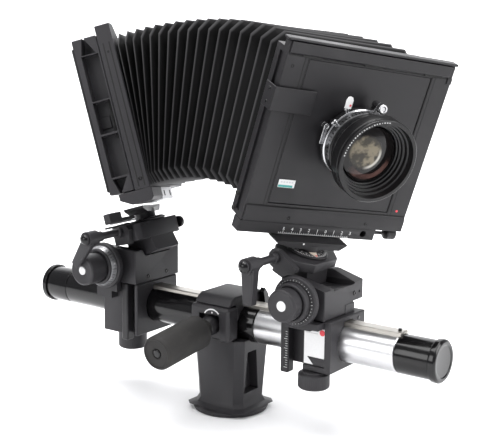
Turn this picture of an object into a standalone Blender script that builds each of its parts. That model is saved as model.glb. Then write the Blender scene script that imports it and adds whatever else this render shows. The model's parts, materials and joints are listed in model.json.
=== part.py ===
"""Large-format monorail view camera on a short column stand, lens side towards -Y.

Metres, +Z up. The origin is the centre of the foot's underside, on the column's turning axis.
The rail runs along Y. Each standard is a chain of empties: the standard's centre on the rail, the
tilt pivot above it, the swing pivot under that, and the frame's own centre. Sizes are in millimetres
and MM turns them into metres.
"""

import math

import bmesh
import bpy
from mathutils import Matrix, Vector

MM = 0.001
GAP = 0.3

# Stand
FOOT_RADIUS, FOOT_THICK = 41.3, 5.0
COLUMN_FOOT_HALF, COLUMN_TOP_HALF, COLUMN_TOP_Z = 25.5, 29.5, 84.0
COLUMN_LONGER, COLUMN_RIDGE = 4.2, 2.0
CLAMP_HALF_LENGTH, CLAMP_TOP_Z = 25.5, 131.0
GRIP_RADIUS, GRIP_DROOP = 18.0, math.radians(6.5)

# Rail
RAIL_Z, RAIL_RADIUS, BORE_RADIUS = 99.5, 20.0, 20.4
RAIL_FRONT_Y, SILVER_FRONT_Y, SILVER_REAR_Y, TUBE_REAR_Y, RAIL_REAR_Y = -247.0, -209.0, -42.5, 231.0, 262.0
CAP_RADIUS, CAP_THICK, CAP_SPIGOT = 21.9, 7.5, 14.0
STRIP_HALF, STRIP_TOP_Z, STRIP_FRONT_Y, STRIP_REAR_Y = 8.0, 122.0, -211.0, 229.0

# Standards
TILT_AXIS_Z = 250.0
KNOB_Z = 147.5
DISC_RADIUS, SLEEVE_RADIUS, KNOB_RADIUS = 25.6, 20.0, 16.5
STANDARDS = {
    "front": dict(
        centre_y=-115.5, inner=1.0, tilt=17.8, swing=-28.0, foot_z=73.0,
        plate=(-32.0, 0.5), web=(-3.4, 26.0), rod=(15.6, 25.4), rod_foot=67.0, block=(-26.0, 26.0), ramp=True,
        cradle=(-24.0, 24.0), deck=(-76.0, -66.0), lever=(9.2, -70.2), lever_angle=0.0, lever_reach=44.5,
        lever_arm=40.0, arm_in=7.0, gusset=26.0, rise_reach=30.0, lock=(-28.0, -9.5, 16.3, 18.0),
    ),
    "rear": dict(
        centre_y=140.0, inner=-1.0, tilt=-18.4, swing=28.0, foot_z=68.0,
        plate=(-14.5, 14.0), web=(14.0, 36.0), rod=(14.6, 23.4), rod_foot=61.5, block=(-20.0, 35.5), ramp=False,
        cradle=(-24.0, 16.0), deck=(-80.0, -61.0), lever=(-4.0, -66.0), lever_angle=34.0, lever_reach=46.5,
        lever_arm=39.0, arm_in=2.6, gusset=13.0, rise_reach=39.5, lock=(-9.0, 5.5, 16.3, 22.3),
    ),
}

# Lens frame: middle of the lens board, from the tilt pivot along the swung frame (across, deep, up)
LENS_FRAME_AT = (12.3, 3.0, 57.4)
BOARD_HALF_WIDTH, BOARD_HALF_HEIGHT, BOARD_THICK = 71.5, 74.5, 3.0
LENS_FRAME_HALF, LENS_FRAME_TOP, LENS_FRAME_FOOT, LENS_FRAME_DEEP = 97.0, 90.0, -95.0, 24.0

# Film frame: middle of the format frame's front face
FILM_FRAME_AT = (-7.3, -35.0, 52.2)
FORMAT_HALF, FORMAT_DEEP = 80.5, 17.5
BACK_FRONT, BACK_REAR, BACK_FOOT, BACK_TOP = 17.8, 45.3, -80.0, 89.0
WINDOW_HALF = 58.0

# Bellows
PLEATS, PLEAT_DEPTH, BELLOWS_WALL = 14, 7.0, 1.6
BELLOWS_HALF_FRONT, BELLOWS_HALF_REAR, BELLOWS_BULGE = 76.0, 78.0, 6.0

parts = bpy.data.collections.new("view_camera")
cutters = bpy.data.collections.new("cutters")


# ---------------------------------------------------------------- helpers


def clear_scene():
    for obj in list(bpy.data.objects):
        bpy.data.objects.remove(obj, do_unlink=True)
    bpy.context.scene.collection.children.link(parts)
    bpy.context.scene.collection.children.link(cutters)
    cutters.hide_render = True


def material(name, colour, roughness, metallic=0.0):
    mat = bpy.data.materials.new(name)
    mat.use_nodes = True
    shader = mat.node_tree.nodes["Principled BSDF"]
    shader.inputs["Base Color"].default_value = (*colour, 1.0)
    shader.inputs["Roughness"].default_value = roughness
    shader.inputs["Metallic"].default_value = metallic
    return mat


def pivot(name, at, parent=None, turn=(0.0, 0.0, 0.0)):
    """An empty at a joint or a frame's centre; turn is in degrees, about X and then the turned Z."""
    empty = bpy.data.objects.new(name, None)
    parts.objects.link(empty)
    empty.parent = parent
    empty.location = Vector(at) * MM
    spin = Matrix.Rotation(math.radians(turn[0]), 3, "X") @ Matrix.Rotation(math.radians(turn[2]), 3, "Z")
    empty.rotation_euler = spin.to_euler()
    return empty


def place(name, mesh, parent, mat, hidden=False):
    obj = bpy.data.objects.new(name, mesh)
    (cutters if hidden else parts).objects.link(obj)
    obj.parent = parent
    if mat:
        mesh.materials.append(mat)
    if hidden:
        obj.hide_render = True
        obj.display_type = "WIRE"
    return obj


def mesh_from(bm, name, smooth=False):
    bmesh.ops.recalc_face_normals(bm, faces=bm.faces)
    mesh = bpy.data.meshes.new(name)
    bm.to_mesh(mesh)
    bm.free()
    if smooth:
        mesh.shade_smooth()
        mesh.set_sharp_from_angle(angle=math.radians(35))
    return mesh


def box(name, x, y, z, parent, mat=None, bevel=0.0, hidden=False):
    """A block between the pairs x, y and z, in millimetres in its parent's frame."""
    bm = bmesh.new()
    lows, highs = [min(p) for p in (x, y, z)], [max(p) for p in (x, y, z)]
    centre = Vector([(a + b) / 2 for a, b in zip(lows, highs)]) * MM
    size = Vector([b - a for a, b in zip(lows, highs)]) * MM
    bmesh.ops.create_cube(bm, size=1.0, matrix=Matrix.Translation(centre) @ Matrix.Diagonal((*size, 1.0)))
    obj = place(name, mesh_from(bm, name), parent, mat, hidden)
    if bevel:
        add_bevel(obj, bevel)
    return obj


def cylinder(name, start, end, radius, parent, mat=None, sides=24, hidden=False):
    """A round bar between two points, in millimetres in its parent's frame."""
    a, b = Vector(start) * MM, Vector(end) * MM
    axis = b - a
    frame = Matrix.Translation((a + b) / 2) @ axis.to_track_quat("Z", "Y").to_matrix().to_4x4()
    bm = bmesh.new()
    bmesh.ops.create_cone(
        bm, cap_ends=True, segments=sides, radius1=radius * MM, radius2=radius * MM, depth=axis.length, matrix=frame
    )
    return place(name, mesh_from(bm, name, smooth=True), parent, mat, hidden)


def turned(name, profile, at, axis, parent, mat=None, sides=32, hidden=False):
    """A profile of (radius, distance along the axis) pairs, top first, spun round the axis through at."""
    mesh = bpy.data.meshes.new(name)
    points = [(r * MM, 0.0, d * MM) for r, d in profile]
    closed = profile[0][0] > 0 and profile[-1][0] > 0
    edges = [(i, i + 1) for i in range(len(points) - 1)] + ([(len(points) - 1, 0)] if closed else [])
    mesh.from_pydata(points, edges, [])
    obj = place(name, mesh, parent, mat, hidden)
    obj.location = Vector(at) * MM
    obj.rotation_euler = Vector(axis).to_track_quat("Z", "Y").to_euler()
    screw = obj.modifiers.new("spin", "SCREW")
    screw.axis = "Z"
    screw.steps = screw.render_steps = sides
    screw.use_merge_vertices = True
    screw.merge_threshold = 0.00001
    screw.use_smooth_shade = True
    return obj


def outline(name, points, thickness, plane, parent, mat=None, bevel=0.0, hidden=False):
    """A flat outline between two distances along the plane's normal: plane 'yz' is along X, and so on."""
    curve = bpy.data.curves.new(name, "CURVE")
    curve.dimensions = "2D"
    curve.fill_mode = "BOTH"
    low, high = min(thickness), max(thickness)
    curve.extrude = (high - low) / 2 * MM
    spline = curve.splines.new("POLY")
    spline.points.add(len(points) - 1)
    spline.use_cyclic_u = True
    for point, (a, b) in zip(spline.points, points):
        point.co = (a * MM, b * MM, 0.0, 1.0)
    turn = {
        "yz": Matrix(((0, 0, 1), (1, 0, 0), (0, 1, 0))),
        "xz": Matrix(((1, 0, 0), (0, 0, -1), (0, 1, 0))),
        "xy": Matrix.Identity(3),
    }[plane]
    sign = -1.0 if plane == "xz" else 1.0
    middle = turn @ Vector((0.0, 0.0, sign * (low + high) / 2 * MM))
    source = bpy.data.objects.new(name + "_outline", curve)
    cutters.objects.link(source)
    bpy.context.view_layer.update()
    mesh = bpy.data.meshes.new_from_object(source.evaluated_get(bpy.context.evaluated_depsgraph_get()))
    bpy.data.objects.remove(source, do_unlink=True)
    mesh.transform(Matrix.Translation(middle) @ turn.to_4x4())
    bm = bmesh.new()
    bm.from_mesh(mesh)
    bmesh.ops.remove_doubles(bm, verts=bm.verts, dist=0.00001)
    bmesh.ops.dissolve_limit(bm, angle_limit=math.radians(1), verts=bm.verts, edges=bm.edges)
    obj = place(name, mesh_from(bm, name), parent, mat, hidden)
    if bevel:
        add_bevel(obj, bevel)
    return obj


def add_bevel(obj, width, segments=1):
    bevel = obj.modifiers.new("edges", "BEVEL")
    bevel.width = width * MM
    bevel.segments = segments
    bevel.limit_method = "ANGLE"
    bevel.angle_limit = math.radians(40)


def combine(obj, other, operation):
    """A Boolean of obj with other, which becomes a hidden guide."""
    if other.name in parts.objects:
        parts.objects.unlink(other)
        cutters.objects.link(other)
    other.hide_render = True
    other.display_type = "WIRE"
    boolean = obj.modifiers.new(operation.lower(), "BOOLEAN")
    boolean.operation = operation
    boolean.solver = "EXACT"
    boolean.object = other
    return obj


def cut(obj, *others):
    for other in others:
        combine(obj, other, "DIFFERENCE")
    return obj


def join(obj, *others):
    for other in others:
        combine(obj, other, "UNION")
    return obj


def octagon(half_x, half_y, corner, centre=(0.0, 0.0)):
    cx, cy = centre
    xs, ys = half_x - corner, half_y - corner
    ring = [(half_x, ys), (xs, half_y), (-xs, half_y), (-half_x, ys)]
    return [(cx + x, cy + y) for x, y in ring] + [(cx - x, cy - y) for x, y in ring]


def arc(centre, radius, start, end, count):
    """Points on a circle from one angle to another, in degrees."""
    steps = [math.radians(start + (end - start) * i / (count - 1)) for i in range(count)]
    return [(centre[0] + radius * math.cos(a), centre[1] + radius * math.sin(a)) for a in steps]


def rail_bore(name, parent, y):
    """The cutter that clears the round rail and its flat strip, between two places along Y."""
    bore = cylinder(name, (0, min(y), RAIL_Z), (0, max(y), RAIL_Z), BORE_RADIUS, parent, sides=40, hidden=True)
    slot = box(name + "_slot", (-STRIP_HALF - 0.5, STRIP_HALF + 0.5), y, (RAIL_Z + 8, STRIP_TOP_Z + 0.5),
               parent, hidden=True)
    return join(bore, slot)


# ---------------------------------------------------------------- materials

BLACK_CAST = material("black_casting", (0.030, 0.030, 0.033), 0.55)
BLACK_PLATE = material("black_anodised", (0.022, 0.022, 0.024), 0.45)
BLACK_GLOSS = material("black_gloss", (0.008, 0.008, 0.009), 0.12)
BLACK_RUBBER = material("black_rubber", (0.026, 0.025, 0.024), 0.85)
BLACK_CLOTH = material("bellows_cloth", (0.012, 0.012, 0.013), 0.7)
SATIN_METAL = material("satin_aluminium", (0.72, 0.73, 0.75), 0.28, 1.0)
WARM_METAL = material("strip_metal", (0.40, 0.38, 0.35), 0.4, 1.0)
STEEL = material("bright_steel", (0.75, 0.75, 0.76), 0.2, 1.0)
GLASS = material("coated_glass", (0.10, 0.09, 0.05), 0.03)


# ---------------------------------------------------------------- stand


def stand():
    base = pivot("stand_pivot", (0, 0, 0))
    turned(
        "foot_disc",
        [(9.3, FOOT_THICK), (FOOT_RADIUS - 1, FOOT_THICK), (FOOT_RADIUS, FOOT_THICK - 1), (FOOT_RADIUS, 2.2),
         (FOOT_RADIUS - 1.2, 1.8), (FOOT_RADIUS - 1.2, 0), (12.3, 0), (12.3, 2.0), (9.3, 2.0)],
        (0, 0, 0), (0, 0, 1), base, BLACK_CAST, sides=48)
    turned("foot_insert", [(0, 4.7), (9.0, 4.7), (9.0, 1.7), (12.0, 1.7), (12.0, 0), (0, 0)],
           (0, 0, 0), (0, 0, 1), base, STEEL, sides=24)
    column_pan = pivot("column_pivot", (0, 0, 0))
    bm = bmesh.new()
    bottom, top = FOOT_THICK + GAP, COLUMN_TOP_Z
    sections = []
    for z, half in ((bottom, COLUMN_FOOT_HALF + 9), (bottom + 3, COLUMN_FOOT_HALF + 2.5),
                    (bottom + 8, COLUMN_FOOT_HALF), (top, COLUMN_TOP_HALF)):
        wide, long = half, half + COLUMN_LONGER
        ring = octagon(wide, long, 8.0)
        ring = ring[:4] + [(-wide - COLUMN_RIDGE, 0.0)] + ring[4:] + [(wide + COLUMN_RIDGE, 0.0)]
        sections.append([bm.verts.new((x * MM, y * MM, z * MM)) for x, y in ring])
    for low, high in zip(sections, sections[1:]):
        for i in range(10):
            bm.faces.new((low[i], low[(i + 1) % 10], high[(i + 1) % 10], high[i]))
    bm.faces.new(list(reversed(sections[0])))
    bm.faces.new(sections[-1])
    column = place("column_casting", mesh_from(bm, "column_casting"), column_pan, BLACK_CAST)
    for side in (-1, 1):
        face = side * (COLUMN_TOP_HALF + COLUMN_LONGER + 3)
        pocket = outline(f"pocket_{side}", [(-16.5, 24), (8.5, 24), (1, 70), (-14.5, 70)],
                         (face, side * 20.0), "xz", column_pan, hidden=True)
        cut(column, pocket)
    cut(column, rail_bore("column_bore", column_pan, (-60, 60)))

    # The clamp stands on the column: a body with two corner posts on the grip's side and a cap over the rail
    body = box("clamp_body", (-40, -21), (-CLAMP_HALF_LENGTH, CLAMP_HALF_LENGTH), (COLUMN_TOP_Z + GAP, 121),
               column_pan, BLACK_CAST, bevel=2.5)
    cut(body, rail_bore("clamp_body_bore", column_pan, (-60, 60)))
    cut(body, box("clamp_recess", (-45, -32), (-13, 13), (80, 112), column_pan, hidden=True))
    cap = outline("clamp_cap", [(-36, 121 + GAP), (-30, CLAMP_TOP_Z - 3), (-24, CLAMP_TOP_Z), (22, CLAMP_TOP_Z),
                                (34, CLAMP_TOP_Z - 10), (34, COLUMN_TOP_Z + GAP), (20.8, COLUMN_TOP_Z + GAP),
                                (20.8, RAIL_Z), (-20.7, RAIL_Z + 4), (-20.7, 121 + GAP)],
                  (-CLAMP_HALF_LENGTH + 2, CLAMP_HALF_LENGTH - 2), "xz", column_pan, BLACK_CAST, bevel=1.5)
    cut(cap, rail_bore("clamp_cap_bore", column_pan, (-60, 60)))
    turned("grip_collar", [(0, 0), (10.5, 0), (10.5, -10), (8.5, -12.5), (0, -12.5)], (-33.6, 0, 100.5),
           (math.cos(GRIP_DROOP), 0, math.sin(GRIP_DROOP)), column_pan, BLACK_PLATE, sides=24)
    grip_pivot = pivot("grip_pivot", (-33.6, 0, 100.5))
    outward = Vector((-math.cos(GRIP_DROOP), 0, -math.sin(GRIP_DROOP)))
    turned("clamp_grip",
           [(0, 95.5), (5.5, 95.5), (5.5, 93.7), (15.5, 93.7), (GRIP_RADIUS, 91.5), (GRIP_RADIUS, 26), (15.5, 22.5),
            (11.0, 20.5), (9.5, 13.0), (0, 13.0)],
           (0, 0, 0), outward, grip_pivot, BLACK_RUBBER, sides=36)
    latch = pivot("latch_pivot", (26, -CLAMP_HALF_LENGTH + 1.7, 112))
    outline("clamp_latch", [(-4, -9), (4, -9), (5, 4), (1, 15), (-5, 22), (-8, 18), (-5, 6)], (-6.0, 0.0), "xz",
            latch, BLACK_GLOSS)


# ---------------------------------------------------------------- rail


def rail():
    on_rail = pivot("rail_slide", (0, 0, 0))

    def tube(name, y, mat, radius=RAIL_RADIUS, hole=0.0):
        bar = cylinder(name, (0, min(y), RAIL_Z), (0, max(y), RAIL_Z), radius, on_rail, mat, sides=40)
        if hole:
            cut(bar, cylinder(name + "_hole", (0, min(y) - 1, RAIL_Z), (0, max(y) + 1, RAIL_Z), hole, on_rail,
                              sides=24, hidden=True))
        return bar

    sections = (
        ("rail_front_end", (RAIL_FRONT_Y, SILVER_FRONT_Y - GAP), BLACK_GLOSS),
        ("rail_extension_tube", (SILVER_FRONT_Y, SILVER_REAR_Y - GAP), SATIN_METAL),
        ("rail_main_tube", (SILVER_REAR_Y, TUBE_REAR_Y - GAP), BLACK_GLOSS),
        ("rail_rear_end", (TUBE_REAR_Y, RAIL_REAR_Y), BLACK_GLOSS),
    )
    for name, y, mat in sections:
        piece = tube(name, y, mat, hole=16.5)
        slot_y = (STRIP_FRONT_Y - GAP, STRIP_REAR_Y + GAP)
        cut(piece, box(name + "_seat", (-STRIP_HALF - GAP, STRIP_HALF + GAP), slot_y,
                       (RAIL_Z + 17.6 - GAP, 130), on_rail, hidden=True))
    box("rail_top_strip", (-STRIP_HALF, STRIP_HALF), (STRIP_FRONT_Y, STRIP_REAR_Y), (RAIL_Z + 17.6, STRIP_TOP_Z),
        on_rail, WARM_METAL, bevel=0.8)
    caps = (("rail_front_cap", RAIL_FRONT_Y - GAP, -1), ("rail_rear_cap", RAIL_REAR_Y + GAP, 1))
    for name, y, way in caps:
        profile = [(0, CAP_THICK), (CAP_RADIUS - 2, CAP_THICK), (CAP_RADIUS, CAP_THICK - 2), (CAP_RADIUS, 0),
                   (16.1, 0), (16.1, -CAP_SPIGOT), (0, -CAP_SPIGOT)]
        turned(name, profile, (0, y, RAIL_Z), (0, way, 0), on_rail, BLACK_GLOSS, sides=40)


# ---------------------------------------------------------------- standards


def carrier(side, spec, here):
    """The block that rides the rail, with the plate that carries the knobs' shafts. w is towards the middle."""
    inner = spec["inner"]

    def across(pair):
        return tuple(inner * w for w in pair)

    plate_x = (-35.0, 33.0)
    low, high = spec["foot_z"], 127.0
    if side == "front":
        block = box("front_carrier", plate_x, across(spec["plate"]), (low, high), here, BLACK_CAST, bevel=1.0)
        join(block, box("front_web", (-24, 24), across((-10.0, spec["web"][1])), (76, high), here, hidden=True))
        cut(block, box("front_window", (-40, -33), across((-25.2, 5.0)), (79, 119), here, hidden=True))
        guides = (spec["rod"][0] - GAP, 27.0)
    else:
        block = box("rear_carrier", (-36, 34), across((spec["plate"][0], spec["web"][1])), (low, high), here,
                    BLACK_CAST, bevel=1.0)
        for x in ((-40, -25.5), (25.5, 40)):
            cut(block, box(f"rear_groove_{x[0]}", x, across((14.3, 32.5)), (50, 140), here, hidden=True))
    cut(block, rail_bore(side + "_carrier_bore", here, (-60, 60)))
    # Knob bearing plate, outside the block that rises
    ear_x = (-46.0, -39.4)
    ear = outline(side + "_bearing", [(-15, 118), (15, 118), (15, 146), (9, 158), (-9, 158), (-15, 146)], ear_x,
                  "yz", here, hidden=True)
    foot = box(side + "_bearing_foot", (-46.0, -34.0), across((-15 if side == "rear" else -24, 7)),
               (110 if side == "rear" else 119.5, 126), here, hidden=True)
    join(block, foot, ear)
    if side == "front":
        cut(block, box("front_rod_way", (-39.2, -24.5), across(guides), (60, 140), here, hidden=True))


def lock_knob(side, spec, here):
    at_x, at_w, radius, tall = spec["lock"]
    knob = pivot(side + "_lock_pivot", (at_x, spec["inner"] * at_w, spec["foot_z"] - GAP), here)
    turned(side + "_lock_knob", [(0, 0), (radius - 3.8, 0), (radius - 3.8, -2), (radius, -3), (radius, 1.3 - tall),
                                 (radius - 1.3, -tall), (0, -tall)],
           (0, 0, 0), (0, 0, 1), knob, BLACK_CAST, sides=36)


def knobs(side, spec, here):
    """Two knobs on one shaft: the wide focus disc, and the rise knob that stands out through it."""
    reach = spec["rise_reach"]
    focus = pivot(side + "_focus_pivot", (-46.3, 0, KNOB_Z), here)
    turned(side + "_focus_knob",
           [(17.0, 16.0), (SLEEVE_RADIUS - 1, 16.0), (SLEEVE_RADIUS, 15.0), (SLEEVE_RADIUS, 7.0),
            (DISC_RADIUS - 1.5, 6.5), (DISC_RADIUS, 5.0), (DISC_RADIUS, 0.0), (5.0, 0.0), (5.0, 3.0), (17.0, 3.0)],
           (0, 0, 0), (-1, 0, 0), focus, BLACK_CAST, sides=40)
    rise = pivot(side + "_rise_pivot", (-46.3, 0, KNOB_Z), here)
    turned(side + "_rise_knob",
           [(0, reach), (KNOB_RADIUS - 1.5, reach), (KNOB_RADIUS, reach - 1.4), (KNOB_RADIUS, 3.4), (4.6, 3.4), (4.6, 0.0),
            (0, 0.0)],
           (0, 0, 0), (-1, 0, 0), rise, BLACK_CAST, sides=32)


def riser(side, spec, here):
    """The block with the curved tilt bed, and the two racks that carry it down into the carrier."""
    inner = spec["inner"]
    outer, inward = spec["block"]
    foot_z = 127.4
    profile = [(-37.5, foot_z), (37.5, foot_z), (37.5, 166), (26, 166), (20, 158), (20, 140), (-20, 140), (-20, 158),
               (-26, 166), (-37.5, 166)]
    block = outline(side + "_tilt_bed", profile, (inner * outer, inner * inward), "xz", here, BLACK_CAST, bevel=0.8)
    floor = box(side + "_bed_floor", (-30, 30), (inner * outer, inner * inward), (130, 158), here, hidden=True)
    join(block, floor)
    cut(block, cylinder(side + "_bed_curve", (-20.3, 0, TILT_AXIS_Z), (20.3, 0, TILT_AXIS_Z), 98.0, here, sides=72,
                        hidden=True))
    cut(block, box(side + "_bed_step", (18, 45), (inner * (outer - 5), inner * 4), (120, 138), here, hidden=True))
    if spec["ramp"]:
        ramp = [(inner * (outer - 4), 156.5), (inner * 6, 166.5), (inner * 6, 175), (inner * (outer - 4), 175)]
        cut(block, outline(side + "_ramp_cut", ramp, (-50, 50), "yz", here, hidden=True))
    cut(block, cylinder(side + "_hole_a", (30, inner * (outer - 1), 146), (30, inner * (outer + 8), 146), 1.6, here,
                        sides=12, hidden=True))
    rod_y = tuple(inner * w for w in spec["rod"])
    box(side + "_scale_rod", (-38.3, -26.7), rod_y, (spec["rod_foot"], foot_z - GAP), here, BLACK_PLATE, bevel=1.2)


def cradle(side, spec, tilt):
    """The tilting part: a deck, a curved shoe that runs in the bed, and an ear that takes the clamp shaft."""
    inner = spec["inner"]
    outer, inward = spec["cradle"]
    deck_low, deck_high = spec["deck"]
    half = (inward - outer) / 2 + 2
    middle = inner * (inward + outer) / 2
    corner = 15.0 if side == "front" else 5.0
    deck = outline(side + "_cradle", octagon(36, half, corner, (0.0, middle)), (deck_low, deck_high), "xy", tilt,
                   BLACK_CAST, bevel=0.8)
    sweep = math.degrees(math.atan2(22.0, 95.0))
    shoe_points = arc((0, 0), 97.5, 270 - sweep, 270 + sweep, 9)
    shoe_points += [(22.0 * 0.8, deck_low + 2), (-22.0 * 0.8, deck_low + 2)]
    join(deck, outline(side + "_shoe", shoe_points, (-19.5, 19.5), "yz", tilt, hidden=True))
    lever_w, lever_v = spec["lever"]
    if side == "front":
        ear = [(18, -69), (15.5, -63), (8, -61.5), (-17, -71), (-17, -75), (0, -83.2), (12.5, -80)]
    else:
        ear = [(-14, -58), (6, -58), (10, -66), (6, -82), (-14, -80)]
    ear = [(inner * w, v) for w, v in ear]
    join(deck, outline(side + "_ear", ear, (-42.8, -35.5), "yz", tilt, hidden=True))
    reach, arm = spec["lever_reach"], spec["lever_arm"]
    shaft = pivot(side + "_lever_pivot", (-43.1, inner * lever_w, lever_v), tilt)
    turned(side + "_lever_shaft", [(0, reach - 16.6), (4.2, reach - 16.6), (4.2, 5.0), (6.0, 4.5), (6.0, 0), (0, 0)],
           (0, 0, 0), (-1, 0, 0), shaft, BLACK_PLATE, sides=20)
    hang = pivot(side + "_lever_arm", (-reach, 0, 0), shaft, turn=(-spec["tilt"] + spec["lever_angle"], 0, 0))
    shape = arc((0, 0), 8.0, 0, 180, 9) + [(-7.0, -16), (-5.2, -arm), (5.2, -arm), (7.0, -16)]
    lever = outline(side + "_clamp_lever", shape, (-3.5, spec["arm_in"]), "yz", hang, BLACK_CAST, bevel=1.0)
    join(lever, cylinder(side + "_hub", (-7, 0, 0), (8.0, 0, 0), 8.2, hang, sides=24, hidden=True))
    join(lever, cylinder(side + "_neck", (7, 0, 0), (16.3, 0, 0), 5.8, hang, sides=24, hidden=True))
    low = -spec["gusset"]
    gusset = [(2, 5), (15.5, 4), (15.5, -4.6), (10.5, -10), (8, low), (2, low)]
    join(lever, outline(side + "_gusset", gusset, (-3.2, 3.2), "xz", hang, hidden=True))
    join(lever, cylinder(side + "_button", (-9.6, 0, 0), (-6.5, 0, 0), 6.2, hang, sides=20, hidden=True))


def swing_block(side, spec, tilt, swing):
    deck_high = spec["deck"][1]
    dial_top = deck_high + 3.0
    turned(side + "_swing_dial", [(7.3, dial_top), (21.0, dial_top), (22.0, dial_top - 1), (22.0, deck_high + GAP),
                                  (7.3, deck_high + GAP)],
           (0, 0, 0), (0, 0, 1), tilt, BLACK_PLATE, sides=40)
    top = -51.5 if side == "front" else -43.6
    post = turned(side + "_swing_post", [(0, top - 4), (12, top - 4), (12, dial_top + 0.5), (7.0, dial_top + 0.5),
                                         (7.0, deck_high + GAP), (0, deck_high + GAP)],
                  (0, 0, 0), (0, 0, 1), swing, BLACK_PLATE, sides=24)
    wide = [(-44, top - GAP), (-44, top - 3), (-27, top - 7.5), (31, top - 7.5), (39, top - 1.5), (39, top - GAP)]
    join(post, outline(side + "_shift_slide", wide, (-11, 11), "xz", swing, hidden=True))


# ---------------------------------------------------------------- frames


def lens_frame(here):
    """Square frame round the lens board; y is behind the board's front face."""
    half, top, foot, deep = LENS_FRAME_HALF, LENS_FRAME_TOP, LENS_FRAME_FOOT, LENS_FRAME_DEEP
    frame = box("lens_frame", (-half, half), (-0.6, deep), (foot, top), here, BLACK_PLATE, bevel=1.0)
    cut(frame, box("lens_frame_window", (-64, 64), (-5, 40), (-66, 66), here, hidden=True))
    cut(frame, box("board_seat", (-BOARD_HALF_WIDTH - GAP, BOARD_HALF_WIDTH + GAP), (-5, BOARD_THICK + 0.6),
                   (-BOARD_HALF_HEIGHT - GAP, BOARD_HALF_HEIGHT + GAP), here, hidden=True))
    board = box("lens_board", (-BOARD_HALF_WIDTH, BOARD_HALF_WIDTH), (0, BOARD_THICK),
                (-BOARD_HALF_HEIGHT, BOARD_HALF_HEIGHT), here, BLACK_PLATE, bevel=0.4)
    cut(board, cylinder("board_hole", (0, -5, 0), (0, 10, 0), 21.0, here, sides=32, hidden=True))
    box("frame_top_lip", (-half - 3, half + 1), (-2.5, 9.0), (top + GAP, top + 3.0), here, BLACK_PLATE, bevel=0.8)
    cut(frame, box("rear_step", (-120, 120), (9.5, 40), (top - 8, top + 5), here, hidden=True))
    for side in (-1, 1):
        cut(frame, box(f"side_groove_{side}", (side * (half - 3), side * (half + 5)), (8, 15), (foot + 6, top - 14),
                       here, hidden=True))
    plate = box("lens_shift_plate", (-half, 66), (0.0, 14.0), (-108.2, foot - GAP), here, BLACK_PLATE, bevel=0.6)
    cut(plate, cylinder("plate_hole", (51, -3, -101.5), (51, 8, -101.5), 3.6, here, sides=16, hidden=True))
    outline("finder_bracket", [(-101.5, 16), (-101.5, -4.6), (-56, -4.6), (-56, -3.0), (-99.6, -3.0), (-99.6, 16)],
            (21, 45), "xy", here, BLACK_PLATE)
    spindle = pivot("shift_knob_pivot", (66.3, 7.0, -101.5), here)
    turned("lens_shift_knob", [(0, 28.5), (5.6, 28.5), (6.4, 27.5), (6.4, 17.5), (5.4, 16.5), (1.9, 16.0), (1.9, 0),
                               (0, 0)],
           (0, 0, 0), (1, 0, 0), spindle, BLACK_PLATE, sides=24)


def lens(here):
    """A lens in a leaf shutter; distances are out of the board's front face, along -y."""
    out = (0, -1, 0)
    turned("shutter_housing", [(24.0, 24.0), (34.0, 24.0), (35.5, 22.5), (35.5, 4.0), (33.5, 2.0), (33.5, 0.3),
                               (20.6, 0.3), (20.6, -9.0), (18.8, -9.0), (18.8, 14.0), (24.0, 14.0)],
           (0, 0, 0), out, here, BLACK_PLATE, sides=40)
    turned("front_lens_barrel",
           [(38.5, 57.0), (42.0, 57.0), (42.5, 56.0), (42.5, 40.0), (39.5, 35.0), (34.0, 31.2), (23.6, 30.9),
            (23.6, 14.4), (20.0, 14.4), (20.0, 33.0), (29.0, 36.5), (31.5, 44.0), (38.0, 50.0)],
           (0, 0, 0), out, here, BLACK_GLOSS, sides=48)
    turned("front_lens_glass", [(0, 43.0), (10, 42.3), (20, 40.4), (28.0, 38.0), (28.0, 37.0), (0, 31.0)],
           (0, 0, 0), out, here, GLASS, sides=32)
    turned("rear_lens_barrel",
           [(18.4, 3.0), (18.4, -9.3), (24.5, -11.5), (24.5, -34.0), (22.0, -34.0), (20.0, -20.0), (15.0, -12.0),
            (15.0, 3.0)],
           (0, 0, 0), out, here, BLACK_GLOSS, sides=32)
    turned("rear_lens_glass", [(0, -25.0), (18, -25.0), (20.3, -28.0), (12, -30.5), (0, -31.5)], (0, 0, 0), out, here,
           GLASS, sides=24)
    turned("iris_blades", [(7.0, 10.5), (18.4, 10.5), (18.4, 9.7), (7.0, 9.7)], (0, 0, 0), out, here, BLACK_PLATE,
           sides=24)
    speed = pivot("speed_ring_pivot", (0, 0, 0), here)
    ring = turned("shutter_speed_ring", [(24.3, 30.4), (32.6, 30.4), (34.5, 29.0), (34.5, 24.6), (24.3, 24.6)],
                  (0, 0, 0), out, speed, BLACK_PLATE, sides=40)
    join(ring, cylinder("ring_grip", (12, -27.5, 35.5), (12, -27.5, 28.0), 2.6, speed, sides=12, hidden=True))
    levers = (
        ("aperture_lever", 122.0, 9.0, 41.0, STEEL),
        ("cocking_lever", 149.0, 16.0, 42.0, STEEL),
    )
    for name, angle, depth, reach, mat in levers:
        hinge = pivot(name + "_pivot", (0, 0, 0), here)
        a = math.radians(angle)
        start = (35.8 * math.cos(a), -depth, 35.8 * math.sin(a))
        end = (reach * math.cos(a), -depth, reach * math.sin(a))
        cylinder(name, start, end, 2.2, hinge, mat, sides=12)


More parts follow.
